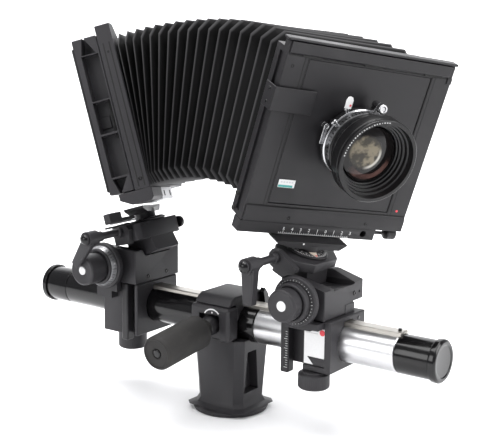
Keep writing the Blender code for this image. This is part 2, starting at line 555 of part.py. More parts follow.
def film_frame(here):
    """Format frame in front, film back behind it with the ground glass; y is behind the frame's front face."""
    half = FORMAT_HALF
    frame = box("format_frame", (-half, half), (0, FORMAT_DEEP), (-81.2, 81.2), here, BLACK_CAST, bevel=1.0)
    cut(frame, box("format_window", (-62, 62), (-5, 40), (-62, 62), here, hidden=True))
    back = box("film_back", (-half, half), (BACK_FRONT, BACK_REAR), (BACK_FOOT, BACK_TOP), here, BLACK_CAST, bevel=1.0)
    cut(back, box("film_window", (-WINDOW_HALF, WINDOW_HALF), (0, 60), (-WINDOW_HALF, WINDOW_HALF), here, hidden=True))
    pockets = ((20.8, 69.7), (-15.0, 19.3), (-62.0, -17.0))
    for side in (-1, 1):
        for low, high in pockets:
            cut(back, box(f"back_pocket_{side}_{low}", (side * (half - 13), side * (half + 5)), (19.6, 38.6),
                          (low, high), here, hidden=True))
        for z, tip in ((70.8, BACK_TOP + 2), (-64.0, BACK_FOOT - 2)):
            notch = [(22.0, z), (38.0, z), (33.0, tip)]
            cut(back, outline(f"back_notch_{side}_{z}", notch, (side * (half - 13), side * (half + 5)), "yz", here,
                              hidden=True))
    cut(back, box("glass_seat", (-WINDOW_HALF - 3, WINDOW_HALF + 3), (32.0, 60), (-WINDOW_HALF - 3, WINDOW_HALF + 3),
                  here, hidden=True))
    box("ground_glass", (-WINDOW_HALF - 2.5, WINDOW_HALF + 2.5), (32.4, 34.6), (-WINDOW_HALF - 2.5, WINDOW_HALF + 2.5),
        here, GLASS)
    holder = box("glass_holder", (-WINDOW_HALF - 2.5, WINDOW_HALF + 2.5), (35.0, 39.0),
                 (-WINDOW_HALF - 2.5, WINDOW_HALF + 2.5), here, BLACK_PLATE, bevel=0.4)
    cut(holder, box("holder_window", (-50, 50), (30, 50), (-50, 50), here, hidden=True))
    top_block = [(-half, 80.0), (-half, 97.5), (-half + 13, 97.5), (-half + 29, 80.0)]
    join(frame, outline("back_catch", top_block, (0.6, 16.9), "xz", here, hidden=True))
    bar = box("film_shift_bar", (-half, 48), (0, 19), (-94.6, -81.5), here, SATIN_METAL, bevel=0.6)
    shoe = [(15.0, -93.0), (15.0, -84.0), (46.0, -84.0), (46.0, -94.8), (25.0, -94.8)]
    join(bar, outline("bar_shoe", shoe, (-34, 26), "yz", here, hidden=True))
    for x in (-56, -14):
        cut(bar, box(f"bar_slot_{x}", (x - 4.5, x + 4.5), (-2, 5), (-91, -86), here, hidden=True))


# ---------------------------------------------------------------- bellows


def bellows(front, rear):
    """A pleated tube lofted between the two frames: its middle follows a cubic curve that leaves each frame square."""
    bpy.context.view_layer.update()
    ends = []
    for frame, depth, way in ((front, LENS_FRAME_DEEP + 0.6, 1.0), (rear, -0.6, -1.0)):
        matrix = frame.matrix_world
        ends.append((matrix @ Vector((0, depth * MM, 0)), matrix.to_3x3() @ Vector((0, way, 0)),
                     matrix.to_3x3().to_quaternion()))
    (a, out_a, turn_a), (b, out_b, turn_b) = ends
    reach = (b - a).length * 0.38
    handles = (a, a + out_a * reach, b + out_b * reach, b)
    rings = []
    count = PLEATS * 2 + 1
    for i in range(count):
        t = i / (count - 1)
        weights = ((1 - t) ** 3, 3 * t * (1 - t) ** 2, 3 * t * t * (1 - t), t ** 3)
        centre = sum((w * p for w, p in zip(weights, handles)), Vector())
        spin = turn_a.slerp(turn_b, t).to_matrix()
        half = BELLOWS_HALF_FRONT + (BELLOWS_HALF_REAR - BELLOWS_HALF_FRONT) * t - (PLEAT_DEPTH if i % 2 == 0 else 0.0)
        half += BELLOWS_BULGE * math.sin(math.pi * t)
        rings.append((centre, spin, half))
    bm = bmesh.new()
    loops = []
    for inset in (0.0, BELLOWS_WALL):
        for centre, spin, half in rings:
            ring = octagon(half - inset, half - inset, 15.0)
            loops.append([bm.verts.new(centre + spin @ Vector((x * MM, 0.0, z * MM))) for x, z in ring])
    outside, inside = loops[:count], loops[count:]

    def skin(low, high):
        for i in range(8):
            bm.faces.new((low[i], low[(i + 1) % 8], high[(i + 1) % 8], high[i]))

    for shell in (outside, inside):
        for low, high in zip(shell, shell[1:]):
            skin(low, high)
    skin(outside[0], inside[0])
    skin(outside[-1], inside[-1])
    place("bellows", mesh_from(bm, "bellows"), None, BLACK_CLOTH)


# ---------------------------------------------------------------- assembly


def standard(side):
    """Builds one standard; gives the pivot that its frame swings about."""
    spec = STANDARDS[side]
    here = pivot(side + "_standard", (0, spec["centre_y"], 0))
    carrier(side, spec, here)
    lock_knob(side, spec, here)
    knobs(side, spec, here)
    riser(side, spec, here)
    tilt = pivot(side + "_tilt_pivot", (0, spec["centre_y"], TILT_AXIS_Z), turn=(spec["tilt"], 0, 0))
    swing = pivot(side + "_swing_pivot", (0, 0, 0), tilt, turn=(0, 0, spec["swing"]))
    cradle(side, spec, tilt)
    swing_block(side, spec, tilt, swing)
    return swing


clear_scene()
stand()
rail()
front_swing = standard("front")
rear_swing = standard("rear")
lens_centre = pivot("lens_frame_centre", LENS_FRAME_AT, front_swing)
film_centre = pivot("film_frame_centre", FILM_FRAME_AT, rear_swing)
lens_frame(lens_centre)
lens(lens_centre)
film_frame(film_centre)
bellows(lens_centre, film_centre)
bpy.context.view_layer.update()
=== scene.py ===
"""Looks of the view camera: smooth turned pieces, eased castings, pleated bellows, scales, finishes, studio.

Lengths are in millimetres inside the functions. A Place is a frame of reference on one moving part, taken
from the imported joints, and turns local millimetres into the row frame's metres.
"""

import json
import math

import bmesh
import bpy
import numpy as np
from mathutils import Matrix, Vector


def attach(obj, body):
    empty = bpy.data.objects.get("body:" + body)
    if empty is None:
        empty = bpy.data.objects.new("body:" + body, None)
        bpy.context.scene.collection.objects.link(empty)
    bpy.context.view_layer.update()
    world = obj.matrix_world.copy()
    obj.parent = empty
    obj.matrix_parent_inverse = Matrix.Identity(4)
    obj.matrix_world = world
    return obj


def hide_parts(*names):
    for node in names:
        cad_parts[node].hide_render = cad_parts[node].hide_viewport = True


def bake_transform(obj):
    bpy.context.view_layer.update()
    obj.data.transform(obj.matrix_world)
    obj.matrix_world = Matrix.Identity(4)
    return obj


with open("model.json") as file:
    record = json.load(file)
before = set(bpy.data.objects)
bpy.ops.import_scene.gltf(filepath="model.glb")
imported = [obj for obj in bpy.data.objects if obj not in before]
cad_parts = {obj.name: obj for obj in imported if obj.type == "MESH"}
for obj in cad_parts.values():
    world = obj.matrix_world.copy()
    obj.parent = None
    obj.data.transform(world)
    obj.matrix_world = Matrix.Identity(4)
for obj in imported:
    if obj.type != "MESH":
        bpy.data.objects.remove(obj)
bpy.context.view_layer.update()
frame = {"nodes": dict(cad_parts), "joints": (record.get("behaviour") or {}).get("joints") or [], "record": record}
JOINTS = {joint["name"]: joint for joint in frame["joints"]}
RECORD = frame["record"]
SLOT_OF = {part["node"]: part["material_slot"] for part in RECORD["subparts"]}
BODY_OF = {node: body for body, nodes in RECORD["behaviour"]["bodies"].items() for node in nodes}
TAU = 2.0 * math.pi

# Camera and studio
CAMERA_AT = (-971.8, -717.0, 436.2)
CAMERA_HEADING, CAMERA_PITCH, CAMERA_ROLL = 35.52, -10.69, 0.67
FOCAL_PX, PICTURE_WIDTH_PX, SENSOR_MM = 1147.88, 500.0, 36.0


# ---------------------------------------------------------------- places and meshes


class Place:
    """An origin in millimetres with axes x, y and z; z is kept, and x is squared up to it."""

    def __init__(self, origin_m, x=(1, 0, 0), z=(0, 0, 1)):
        z = np.array(z, float) / np.linalg.norm(z)
        x = np.array(x, float) - z * (np.array(x, float) @ z)
        x = x / np.linalg.norm(x)
        self.origin = np.array(origin_m, float) * 1000.0
        self.axes = np.array([x, np.cross(z, x), z])

    def world(self, points):
        """Origin plus each coordinate times its axis, in metres."""
        return (self.origin + np.asarray(points, float) @ self.axes) * 0.001

    def local(self, points_m):
        return (np.asarray(points_m, float) * 1000.0 - self.origin) @ self.axes.T

    def moved(self, at):
        """The same axes about another local point."""
        place = Place((0, 0, 0), self.axes[0], self.axes[2])
        place.origin = self.origin + np.asarray(at, float) @ self.axes
        return place

    def node_box(self, node):
        """Lowest and highest corner of a CAD node along this place's own axes."""
        points = np.array([v.co for v in frame["nodes"][node].data.vertices], float)
        local = self.local(points)
        return local.min(0), local.max(0)


def joint_place(hinge, across, upright):
    return Place(JOINTS[hinge]["pos_m"], JOINTS[across]["axis"], JOINTS[upright]["axis"])


BASE = Place((0, 0, 0))
LENS = joint_place("speed_ring_turn", "lens_shift", "front_swing_turn")
SWING = {
    "front": joint_place("front_swing_turn", "lens_shift", "front_swing_turn"),
    "rear": joint_place("rear_swing_turn", "film_shift", "rear_swing_turn"),
}
TILT = {side: Place(JOINTS[side + "_tilt_turn"]["pos_m"], (1, 0, 0), JOINTS[side + "_swing_turn"]["axis"])
    for side in ("front", "rear")}
STANDARD = {side: Place([0, JOINTS[side + "_tilt_turn"]["pos_m"][1], 0]) for side in ("front", "rear")}


def film_place():
    """The middle of the format frame's front face, with depth along the swung axes."""
    low, high = SWING["rear"].node_box("format_frame")
    holder_low, holder_high = SWING["rear"].node_box("glass_holder")
    middle = [(low[0] + high[0]) / 2, low[1], (holder_low[2] + holder_high[2]) / 2]
    return SWING["rear"].moved(middle)


FILM = film_place()


def grid_faces(rows, columns, wrap=False):
    """Quads between neighbouring rows and columns of a grid; wrap joins the last column to the first."""
    row = np.arange(rows - 1)[:, None]
    column = np.arange(columns if wrap else columns - 1)[None, :]
    after = (column + 1) % columns
    quads = np.stack([row * columns + column, row * columns + after, (row + 1) * columns + after,
        (row + 1) * columns + column], axis=-1)
    return quads.reshape(-1, 4)


def finish_piece(name, mesh, finish, body, slot=None, replaces=(), smooth=35.0):
    """Welds a mesh, turns its faces outwards and hangs it on its body."""
    bm = bmesh.new()
    bm.from_mesh(mesh)
    bmesh.ops.remove_doubles(bm, verts=bm.verts, dist=1e-6)
    bmesh.ops.recalc_face_normals(bm, faces=bm.faces)
    bm.to_mesh(mesh)
    bm.free()
    mesh.shade_smooth()
    mesh.set_sharp_from_angle(angle=math.radians(smooth))
    piece = bpy.data.objects.new(name, mesh)
    bpy.context.scene.collection.objects.link(piece)
    mesh.materials.clear()
    mesh.materials.append(finish)
    if body:
        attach(piece, body)
    if replaces:
        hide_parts(*replaces)
    return piece


def mesh_of(name, points_m, faces):
    mesh = bpy.data.meshes.new(name)
    mesh.from_pydata(np.asarray(points_m).reshape(-1, 3).tolist(), [], [list(map(int, f)) for f in faces])
    return mesh


def rounded(profile, ease, steps=4):
    """Each inner corner of a polyline becomes a parabola: (1-s)^2 A + 2s(1-s) P + s^2 C, with A and C at most
    ease away from the corner P and never past 0.45 of either stretch."""
    p = np.array(profile, float)
    before, at, after = p[:-2], p[1:-1], p[2:]
    back, ahead = before - at, after - at
    lengths = [np.maximum(np.linalg.norm(d, axis=1, keepdims=True), 1e-9) for d in (back, ahead)]
    a = at + back * np.minimum(ease / lengths[0], 0.45)
    c = at + ahead * np.minimum(ease / lengths[1], 0.45)
    s = np.linspace(0, 1, steps)[None, :, None]
    arcs = (1 - s) ** 2 * a[:, None] + 2 * s * (1 - s) * at[:, None] + s ** 2 * c[:, None]
    return np.concatenate([p[:1], arcs.reshape(-1, p.shape[1]), p[-1:]])


def cross_axes(axis):
    """Two unit vectors square to an axis and to each other."""
    axis = np.array(axis, float) / np.linalg.norm(axis)
    helper = np.array([0, 0, 1.0]) if abs(axis[2]) < 0.9 else np.array([1.0, 0, 0])
    first = np.cross(helper, axis)
    first = first / np.linalg.norm(first)
    return axis, first, np.cross(axis, first)


def turned(name, profile, place, at, axis, finish, body, ease=0.4, sides=96, ripple=None, **how):
    """A profile of (radius, distance) spun round an axis: at + distance*axis + radius*(cos, sin) of the
    angle. ripple(radius, distance, angle) gives each point's own radius, for ribs and knurls."""
    shape = rounded(profile, ease) if ease else np.array(profile, float)
    closed = profile[0][0] > 0 and profile[-1][0] > 0
    if closed:
        shape = np.concatenate([shape, shape[:1]])
    along, first, second = cross_axes(axis)
    angle = np.arange(sides) * TAU / sides
    radius = np.repeat(shape[:, :1], sides, axis=1)
    distance = shape[:, 1:2] + np.zeros((1, sides))
    if ripple:
        radius = ripple(radius, distance, angle[None, :])
    ring = np.cos(angle)[:, None] * first + np.sin(angle)[:, None] * second
    points = np.array(at, float) + distance[..., None] * along + radius[..., None] * ring
    mesh = mesh_of(name, place.world(points), grid_faces(len(shape), sides, wrap=True))
    return finish_piece(name, mesh, finish, body, **how)


def ribs(count, depth, low, high, edge=0.5):
    """Scallops round a turned piece between two distances: radius - depth*(1 - cos(count*angle))/2, eased at
    the two ends of the band."""

    def ripple(radius, distance, angle):
        band = np.clip((distance - low) / edge, 0, 1) * np.clip((high - distance) / edge, 0, 1)
        outer = radius > 0.8 * radius.max()
        return radius - band * outer * depth * (0.5 - 0.5 * np.cos(count * angle))

    return ripple


def prism(name, outline, depth, plane, place, finish, body, bevel=0.4, segments=2, **how):
    """A flat outline carried between two depths along the plane's normal: 'xz' is along y, and so on."""
    flat = np.array(outline, float)
    order = {"xy": (0, 1, 2), "xz": (0, 2, 1), "yz": (1, 2, 0)}[plane]
    rings = np.zeros((2, len(flat), 3))
    rings[:, :, order[0]] = flat[:, 0]
    rings[:, :, order[1]] = flat[:, 1]
    rings[:, :, order[2]] = np.array(depth, float)[:, None]
    count = len(flat)
    faces = grid_faces(2, count, wrap=True).tolist() + [list(range(count)), list(range(count, 2 * count))]
    piece = finish_piece(name, mesh_of(name, place.world(rings), faces), finish, body, **how)
    return eased(piece, bevel, segments)


def bar(name, x, y, z, place, finish, body, bevel=0.4, **how):
    """A straight bar between the pairs x, y and z."""
    corners = [(x[0], z[0]), (x[1], z[0]), (x[1], z[1]), (x[0], z[1])]
    return prism(name, corners, y, "xz", place, finish, body, bevel, **how)


def eased(piece, width, segments=2):
    """Rounded edges, so that each edge catches a thin line of light."""
    if width:
        bevel = piece.modifiers.new("eased edges", "BEVEL")
        bevel.width = width * 0.001
        bevel.segments = segments
        bevel.limit_method = "ANGLE"
        bevel.angle_limit = math.radians(32)
        bevel.harden_normals = True
    return piece


def fettled(node, finish, width=0.6, segments=2):
    """A CAD casting with eased edges: its triangles are welded, flat faces made whole, then bevelled."""
    source = frame["nodes"][node]
    bm = bmesh.new()
    bm.from_mesh(source.data)
    bmesh.ops.remove_doubles(bm, verts=bm.verts, dist=5e-6)
    bmesh.ops.dissolve_limit(bm, angle_limit=math.radians(0.8), verts=bm.verts, edges=bm.edges)
    mesh = bpy.data.meshes.new(node + "_body")
    bm.to_mesh(mesh)
    bm.free()
    piece = finish_piece(node + "_body", mesh, finish, BODY_OF[node], slot=SLOT_OF[node], replaces=(node,))
    return eased(piece, width, segments)


def numerals(name, entries, place, axis_x, axis_z, finish, body, size=3.0, height=0.12):
    """Small figures laid flat: entries are (text, (x, y, z)); axis_x runs across a figure, axis_z up it."""
    points, faces = [], []
    count = 0
    x, z = np.array(axis_x, float), np.array(axis_z, float)
    out = np.cross(x, z)
    for text, at in entries:
        curve = bpy.data.curves.new(name, "FONT")
        curve.body = text
        curve.size = size
        curve.align_x, curve.align_y = "CENTER", "CENTER"
        curve.extrude = height / 2
        curve.resolution_u = 2
        holder = bpy.data.objects.new(name, curve)
        bpy.context.scene.collection.objects.link(holder)
        bpy.context.view_layer.update()
        mesh = bpy.data.meshes.new_from_object(holder.evaluated_get(bpy.context.evaluated_depsgraph_get()))
        bpy.data.objects.remove(holder)
        flat = np.array([v.co for v in mesh.vertices], float)
        points.append(np.array(at, float) + flat[:, :1] * x + flat[:, 1:2] * z + flat[:, 2:] * out)
        faces += [[i + count for i in polygon.vertices] for polygon in mesh.polygons]
        count += len(flat)
    return finish_piece(name, mesh_of(name, place.world(np.concatenate(points)), faces), finish, body)


def blocks(name, centres, first, second, third, place, finish, body):
    """Many small blocks in one mesh: every corner is its centre +- the three half edges."""
    centres = np.array(centres, float).reshape(-1, 3)
    signs = np.array([(x, y, z) for x in (-1, 1) for y in (-1, 1) for z in (-1, 1)], float)
    edges = [np.broadcast_to(edge, centres.shape)[:, None] for edge in (first, second, third)]
    points = centres[:, None] + sum(signs[None, :, k:k + 1] * edge for k, edge in enumerate(edges))
    quads = np.array([(0, 1, 3, 2), (4, 6, 7, 5), (0, 4, 5, 1), (2, 3, 7, 6), (0, 2, 6, 4), (1, 5, 7, 3)])
    faces = (quads[None] + 8 * np.arange(len(centres))[:, None, None]).reshape(-1, 4)
    return finish_piece(name, mesh_of(name, place.world(points), faces), finish, body)


def ticks(name, centres, size, place, finish, body):
    """Blocks square to the place's axes, of one size (x, y, z) or each of its own."""
    half = np.array(size, float).reshape(-1, 1, 3) / 2 * np.eye(3)
    return blocks(name, centres, half[:, 0], half[:, 1], half[:, 2], place, finish, body)


def spokes(angle, first, second):
    """Unit vectors out, cos(angle)*first + sin(angle)*second, and across, a quarter turn on."""
    c, s = np.cos(angle)[:, None], np.sin(angle)[:, None]
    first, second = np.array(first, float), np.array(second, float)
    return c * first + s * second, c * second - s * first


def arc_band(name, centre, axes, radii, depths, bearings, steps, place, finish, body):
    """Part of a flat ring: centre + radius*out, at two radii and two depths along the third of its axes."""
    out, _ = spokes(np.deg2rad(np.linspace(*bearings, steps)), axes[0], axes[1])
    radius = np.array([radii[0], radii[1], radii[1], radii[0]])[:, None]
    depth = np.array([depths[0], depths[0], depths[1], depths[1]])[:, None]
    points = np.array(centre, float) + radius * out[:, None] + depth * np.array(axes[2], float)
    last = 4 * steps - 4
    faces = grid_faces(steps, 4, wrap=True).tolist() + [[0, 1, 2, 3], [last, last + 1, last + 2, last + 3]]
    return finish_piece(name, mesh_of(name, place.world(points), faces), finish, body)


def disc(name, radius, proud, deep, place, at, axis, finish, body, ease=0.05, sides=32):
    """A small round inlay that stands proud of the face it is let into."""
    profile = [(0, proud), (radius, proud), (radius, -deep), (0, -deep)]
    return turned(name, profile, place, at, axis, finish, body, ease=ease, sides=sides)


def screw_head(name, place, at, axis, radius, finish, body, recess=0.45):
    """A socket screw: a domed rim with a hexagonal well, the profile's inner part drawn to six sides."""

    def well(r, distance, angle):
        inner = r < radius * recess * 1.05
        flat = np.cos(np.pi / 6) / np.cos((angle % (TAU / 6)) - np.pi / 6)
        return np.where(inner, r * flat, r)

    inside = radius * recess
    profile = [(0, -0.5 * radius), (inside, -0.5 * radius), (inside, 0.32 * radius),
        (radius * 0.8, 0.36 * radius), (radius, 0.12 * radius), (radius, -0.1 * radius), (0, -0.55 * radius)]
    return turned(name, profile, place, at, axis, finish, body, ease=0.1 * radius, sides=36, ripple=well)


# ---------------------------------------------------------------- finishes


class Wire:
    """A socket in a finish's node tree. Arithmetic on it adds Math nodes."""

    def __init__(self, owner, socket):
        self.owner, self.socket = owner, socket

    def _maths(self, operation, *values):
        return self.owner.node("ShaderNodeMath", dict(operation=operation), *values)

    def __add__(self, other):
        return self._maths("ADD", self, other)

    __radd__ = __add__

    def __sub__(self, other):
        return self._maths("SUBTRACT", self, other)

    def __rsub__(self, other):
        return self._maths("SUBTRACT", other, self)

    def __mul__(self, other):
        return self._maths("MULTIPLY", self, other)

    __rmul__ = __mul__

    def between(self, low, high):
        """0 below low, 1 above high, with a smooth step between."""
        return self.owner.node("ShaderNodeMapRange", dict(interpolation_type="SMOOTHSTEP"),
            **{"Value": self, "From Min": low, "From Max": high})


class Finish:
    """One Principled material. Constants go straight on its sockets; node() adds any other node."""

    def __init__(self, name, **constants):
        self.material = bpy.data.materials.new(name)
        self.material.use_nodes = True
        self.tree = self.material.node_tree
        self.shader = self.tree.nodes["Principled BSDF"]
        for socket, value in constants.items():
            self.put(self.shader.inputs[socket.replace("_", " ")], value)

    def put(self, socket, value):
        if isinstance(value, Wire):
            self.tree.links.new(value.socket, socket)
        elif isinstance(value, tuple) and socket.type == "RGBA":
            socket.default_value = (*value, 1.0)
        else:
            socket.default_value = value

    def node(self, kind, settings=None, *values, output=0, **sockets):
        """Adds a node: its settings first, then its sockets, by order or by name."""
        made = self.tree.nodes.new(kind)
        for setting, value in (settings or {}).items():
            setattr(made, setting, value)
        for socket, value in zip(made.inputs, values):
            self.put(socket, value)
        for socket, value in sockets.items():
            self.put(made.inputs[socket], value)
        return Wire(self, made.outputs[output])

    def place(self, scale=(1, 1, 1)):
        coordinates = self.node("ShaderNodeTexCoord", output="Object")
        return self.node("ShaderNodeMapping", Vector=coordinates, Scale=scale)

    def noise(self, scale, vector=None, detail=3.0, rough=0.55):
        where = vector or self.place()
        return self.node("ShaderNodeTexNoise", dict(noise_dimensions="3D"), Vector=where, Scale=scale,
            Detail=detail, Roughness=rough)

    def attribute(self, name):
        return self.node("ShaderNodeAttribute", dict(attribute_name=name), output="Fac")

    def mix(self, share, first, second):
        made = self.tree.nodes.new("ShaderNodeMix")
        made.data_type = "RGBA"
        self.put(made.inputs["Factor"], share)
        self.put(made.inputs[6], first)
        self.put(made.inputs[7], second)
        return Wire(self, made.outputs[2])

    def bump(self, height, strength, distance):
        made = self.tree.nodes.new("ShaderNodeBump")
        made.inputs["Strength"].default_value = strength
        made.inputs["Distance"].default_value = distance
        self.put(made.inputs["Height"], height)
        self.tree.links.new(made.outputs["Normal"], self.shader.inputs["Normal"])

    def set(self, **links):
        for socket, value in links.items():
            self.put(self.shader.inputs[socket.replace("_", " ")], value)
        return self.material


def crackle_black():
    """Baked crackle paint on castings: fine pebbling, a soft cloud of sheen and faint dust in the hollows."""
    f = Finish("crackle_black_paint", Specular_IOR_Level=0.32)
    pebble = f.noise(1500.0, detail=2.0)
    cloud = f.noise(22.0, detail=4.0)
    dust = f.noise(180.0, detail=6.0, rough=0.7).between(0.60, 0.78)
    colour = f.mix(cloud, (0.0165, 0.0155, 0.0178), (0.0275, 0.0262, 0.0288))
    f.bump(pebble + cloud * 0.15, 0.35, 0.00012)
    return f.set(Base_Color=f.mix(dust * 0.25, colour, (0.075, 0.074, 0.072)),
        Roughness=0.43 + 0.14 * cloud + 0.08 * dust)


def satin_black():
    """Anodised plate: very fine grain, with rubbed patches that shine a little more."""
    f = Finish("satin_black_anodise", Specular_IOR_Level=0.3)
    grain = f.noise(2600.0, detail=1.0)
    rubbed = f.noise(14.0, detail=3.0).between(0.42, 0.72)
    specks = f.noise(700.0, detail=5.0, rough=0.75).between(0.69, 0.75)
    colour = f.mix(rubbed, (0.0108, 0.0101, 0.0115), (0.0172, 0.0163, 0.0180))
    f.bump(grain, 0.16, 0.00006)
    return f.set(Base_Color=f.mix(specks * 0.35, colour, (0.10, 0.10, 0.10)), Roughness=0.44 - 0.10 * rubbed)


def gloss_black():
    """Polished black: deep and smooth, with faint wiping marks round the tube."""
    f = Finish("gloss_black_enamel", Coat_Weight=0.15, Coat_Roughness=0.04, Specular_IOR_Level=0.28)
    wipes = f.noise(60.0, vector=f.place(scale=(1.0, 6.0, 1.0)), detail=4.0)
    smears = f.noise(18.0, detail=3.0).between(0.5, 0.75)
    f.bump(wipes, 0.05, 0.0001)
    return f.set(Base_Color=f.mix(smears, (0.0030, 0.0028, 0.0032), (0.0070, 0.0066, 0.0070)),
        Roughness=0.10 + 0.10 * wipes + 0.08 * smears)


def barrel_black():
    """Hard black anodise on the lens: satin, with a trace of turning lines."""
    f = Finish("barrel_black", Coat_Weight=0.08, Coat_Roughness=0.12, Specular_IOR_Level=0.25)
    grain = f.noise(900.0, detail=2.0)
    cloud = f.noise(40.0, detail=2.0)
    f.bump(grain, 0.10, 0.00005)
    return f.set(Base_Color=f.mix(cloud, (0.0040, 0.0038, 0.0042), (0.0085, 0.0082, 0.0088)),
        Roughness=0.24 + 0.12 * cloud)


def grip_rubber():
    """Moulded rubber: matt, slightly warm, pitted, with paler scuffs."""
    f = Finish("grip_rubber", Specular_IOR_Level=0.24)
    pits = f.noise(1100.0, detail=3.0)
    scuffs = f.noise(45.0, detail=5.0, rough=0.65).between(0.48, 0.72)
    f.bump(pits, 0.4, 0.00015)
    return f.set(Base_Color=f.mix(scuffs, (0.0200, 0.0190, 0.0185), (0.0370, 0.0350, 0.0325)),
        Roughness=0.66 + 0.16 * scuffs)


def bellows_leather():
    """Pleated leatherette: a fine cross grain, a paler line along each crest that is partly rubbed wear and partly
    painted highlight, and painted shade darkening each valley.
    """
    f = Finish("bellows_leatherette", Specular_IOR_Level=0.16)
    crest = f.attribute("crest")
    # partly painted highlight, partly rubbed wear: a thin pale line on each crest
    line = crest.between(0.80, 0.97)
    grain = f.noise(1300.0, detail=3.0, rough=0.6)
    blotch = f.noise(30.0, detail=3.0)
    # painted shade: the colour darkens from each crest down to each valley
    colour = f.mix(crest * (0.4 + 0.6 * blotch), (0.0008, 0.0008, 0.0009), (0.0042, 0.0041, 0.0043))
    f.bump(grain, 0.35, 0.0001)
    return f.set(Base_Color=f.mix(line * 0.85, colour, (0.070, 0.069, 0.071)),
        Roughness=0.50 + 0.12 * grain - 0.10 * line)


def brushed(name, colour, other, roughness, lines):
    """Metal brushed round or along: noise drawn out along one axis moves its colour, gloss and surface."""
    f = Finish(name, Metallic=1.0)
    streaks = f.noise(90.0, vector=f.place(scale=lines), detail=6.0, rough=0.7)
    f.bump(streaks, 0.08, 0.00004)
    return f.set(Base_Color=f.mix(streaks * 0.8, colour, other), Roughness=roughness + 0.08 * streaks)


def enamel(name, colour, roughness=0.42):
    """Filled or printed paint with a slightly uneven face."""
    f = Finish(name)
    cloud = f.noise(500.0, detail=3.0)
    paler = tuple(min(1.0, c * 1.12 + 0.01) for c in colour)
    f.bump(cloud, 0.05, 0.00003)
    return f.set(Base_Color=f.mix(cloud, colour, paler), Roughness=roughness + 0.1 * cloud)


def coated_glass():
    """Dark coated glass with its reflections painted into the colour: a warm buff pool of painted reflection
    broken by darker clouds, a bright painted highlight crescent beside it and a dusky rose painted reflection
    below. The glass piece carries where each of them lies as attributes."""
    f = Finish("coated_lens_glass", Coat_Weight=0.10, Coat_Roughness=0.02, Specular_IOR_Level=0.22,
        Roughness=0.05)
    cloud = f.noise(95.0, detail=3.0).between(0.40, 0.62)
    # painted reflection: the buff pool and the rose crescent stand in for reflections on the coating
    buff = f.mix(cloud, (0.030, 0.026, 0.019), (0.155, 0.132, 0.092))
    buff_reflection_pool = f.mix(f.attribute("buff"), (0.006, 0.005, 0.005), buff)
    with_rose_reflection = f.mix(f.attribute("painted_rose_reflection") * (0.45 + 0.55 * cloud), buff_reflection_pool, (0.095, 0.052, 0.046))
    # painted highlight: a pale crescent mixed into the base colour
    return f.set(Base_Color=f.mix(f.attribute("painted_highlight") * 0.85, with_rose_reflection, (0.48, 0.46, 0.42)))


def screen_glass():
    """Ground glass: even, milky and rough, with a faint tooth."""
    f = Finish("ground_screen_glass", Specular_IOR_Level=0.5)
    tooth = f.noise(2400.0, detail=2.0)
    cloud = f.noise(12.0, detail=3.0)
    f.bump(tooth, 0.25, 0.00005)
    return f.set(Base_Color=f.mix(cloud, (0.30, 0.31, 0.31), (0.38, 0.39, 0.38)),
        Roughness=0.38 + 0.14 * tooth)


CRACKLE = crackle_black()
SATIN = satin_black()
GLOSS = gloss_black()
BARREL = barrel_black()
RUBBER = grip_rubber()
LEATHER = bellows_leather()
SILVER = brushed("satin_aluminium", (0.55, 0.55, 0.56), (0.68, 0.68, 0.69), 0.25, (1.0, 14.0, 1.0))
BAR_SILVER = brushed("milled_aluminium", (0.27, 0.27, 0.28), (0.38, 0.38, 0.39), 0.32, (1.0, 1.0, 10.0))
STRIP = brushed("warm_grey_strip", (0.30, 0.285, 0.26), (0.46, 0.44, 0.41), 0.34, (10.0, 0.6, 10.0))
STEEL = brushed("bright_steel", (0.40, 0.40, 0.41), (0.62, 0.62, 0.63), 0.18, (3.0, 3.0, 12.0))
WHITE = enamel("white_enamel", (0.66, 0.66, 0.66))
GREY_MARK = enamel("grey_print", (0.42, 0.42, 0.42))
RED = enamel("red_enamel", (0.62, 0.035, 0.05))
BUFF = enamel("buff_pointer_enamel", (0.55, 0.48, 0.40))
TEAL = enamel("teal_print", (0.03, 0.30, 0.27))
PALE_PRINT = enamel("pale_grey_print", (0.50, 0.50, 0.52))
# painted shadow: a near-black matt finish for slots, holes and grooves, standing in for the shade inside them
SHADOW = enamel("painted_shadow_black", (0.003, 0.003, 0.003), 0.85)
GLASS = coated_glass()
SCREEN = screen_glass()
FINISH_OF = {
    "black_casting": CRACKLE, "black_anodised": SATIN, "black_gloss": GLOSS, "black_rubber": RUBBER,
    "bellows_cloth": LEATHER, "satin_aluminium": BAR_SILVER, "strip_metal": STRIP, "bright_steel": STEEL,
    "coated_glass": SCREEN,
}


def finish_cad_nodes():
    for node, piece in frame["nodes"].items():
        piece.data.materials.clear()
        piece.data.materials.append(FINISH_OF[SLOT_OF[node]])


# ---------------------------------------------------------------- stand and rail

LOCK_SIGN_AT = (-4.0, 106.6)
RAIL_Z, RAIL_RADIUS = 99.5, 20.0
FOOT_RADIUS = 41.3


def stand():
    turned("foot_plate", [(0, 5.0), (FOOT_RADIUS - 2.8, 5.0), (FOOT_RADIUS, 4.0), (FOOT_RADIUS, 2.5),
        (FOOT_RADIUS - 1.1, 2.0), (FOOT_RADIUS - 1.1, 0.0), (9.6, 0.0), (9.6, 1.2), (0, 1.2)], BASE,
        (0, 0, 0), (0, 0, 1), CRACKLE, "foot", sides=144, slot="black_casting", replaces=("foot_disc",))
    fettled("column_casting", CRACKLE, 1.6, 3)
    fettled("clamp_body", CRACKLE, 0.9, 3)
    fettled("clamp_cap", CRACKLE, 0.9, 3)
    fettled("clamp_latch", GLOSS, 0.6)
    at = math.radians(-62.0)
    disc("foot_screw", 1.3, 0.3, 1.2, BASE, (37.5 * math.cos(at), 37.5 * math.sin(at), 5.0), (0, 0, 1), GLOSS,
        "foot", ease=0.4, sides=24)
    clamp_marks()


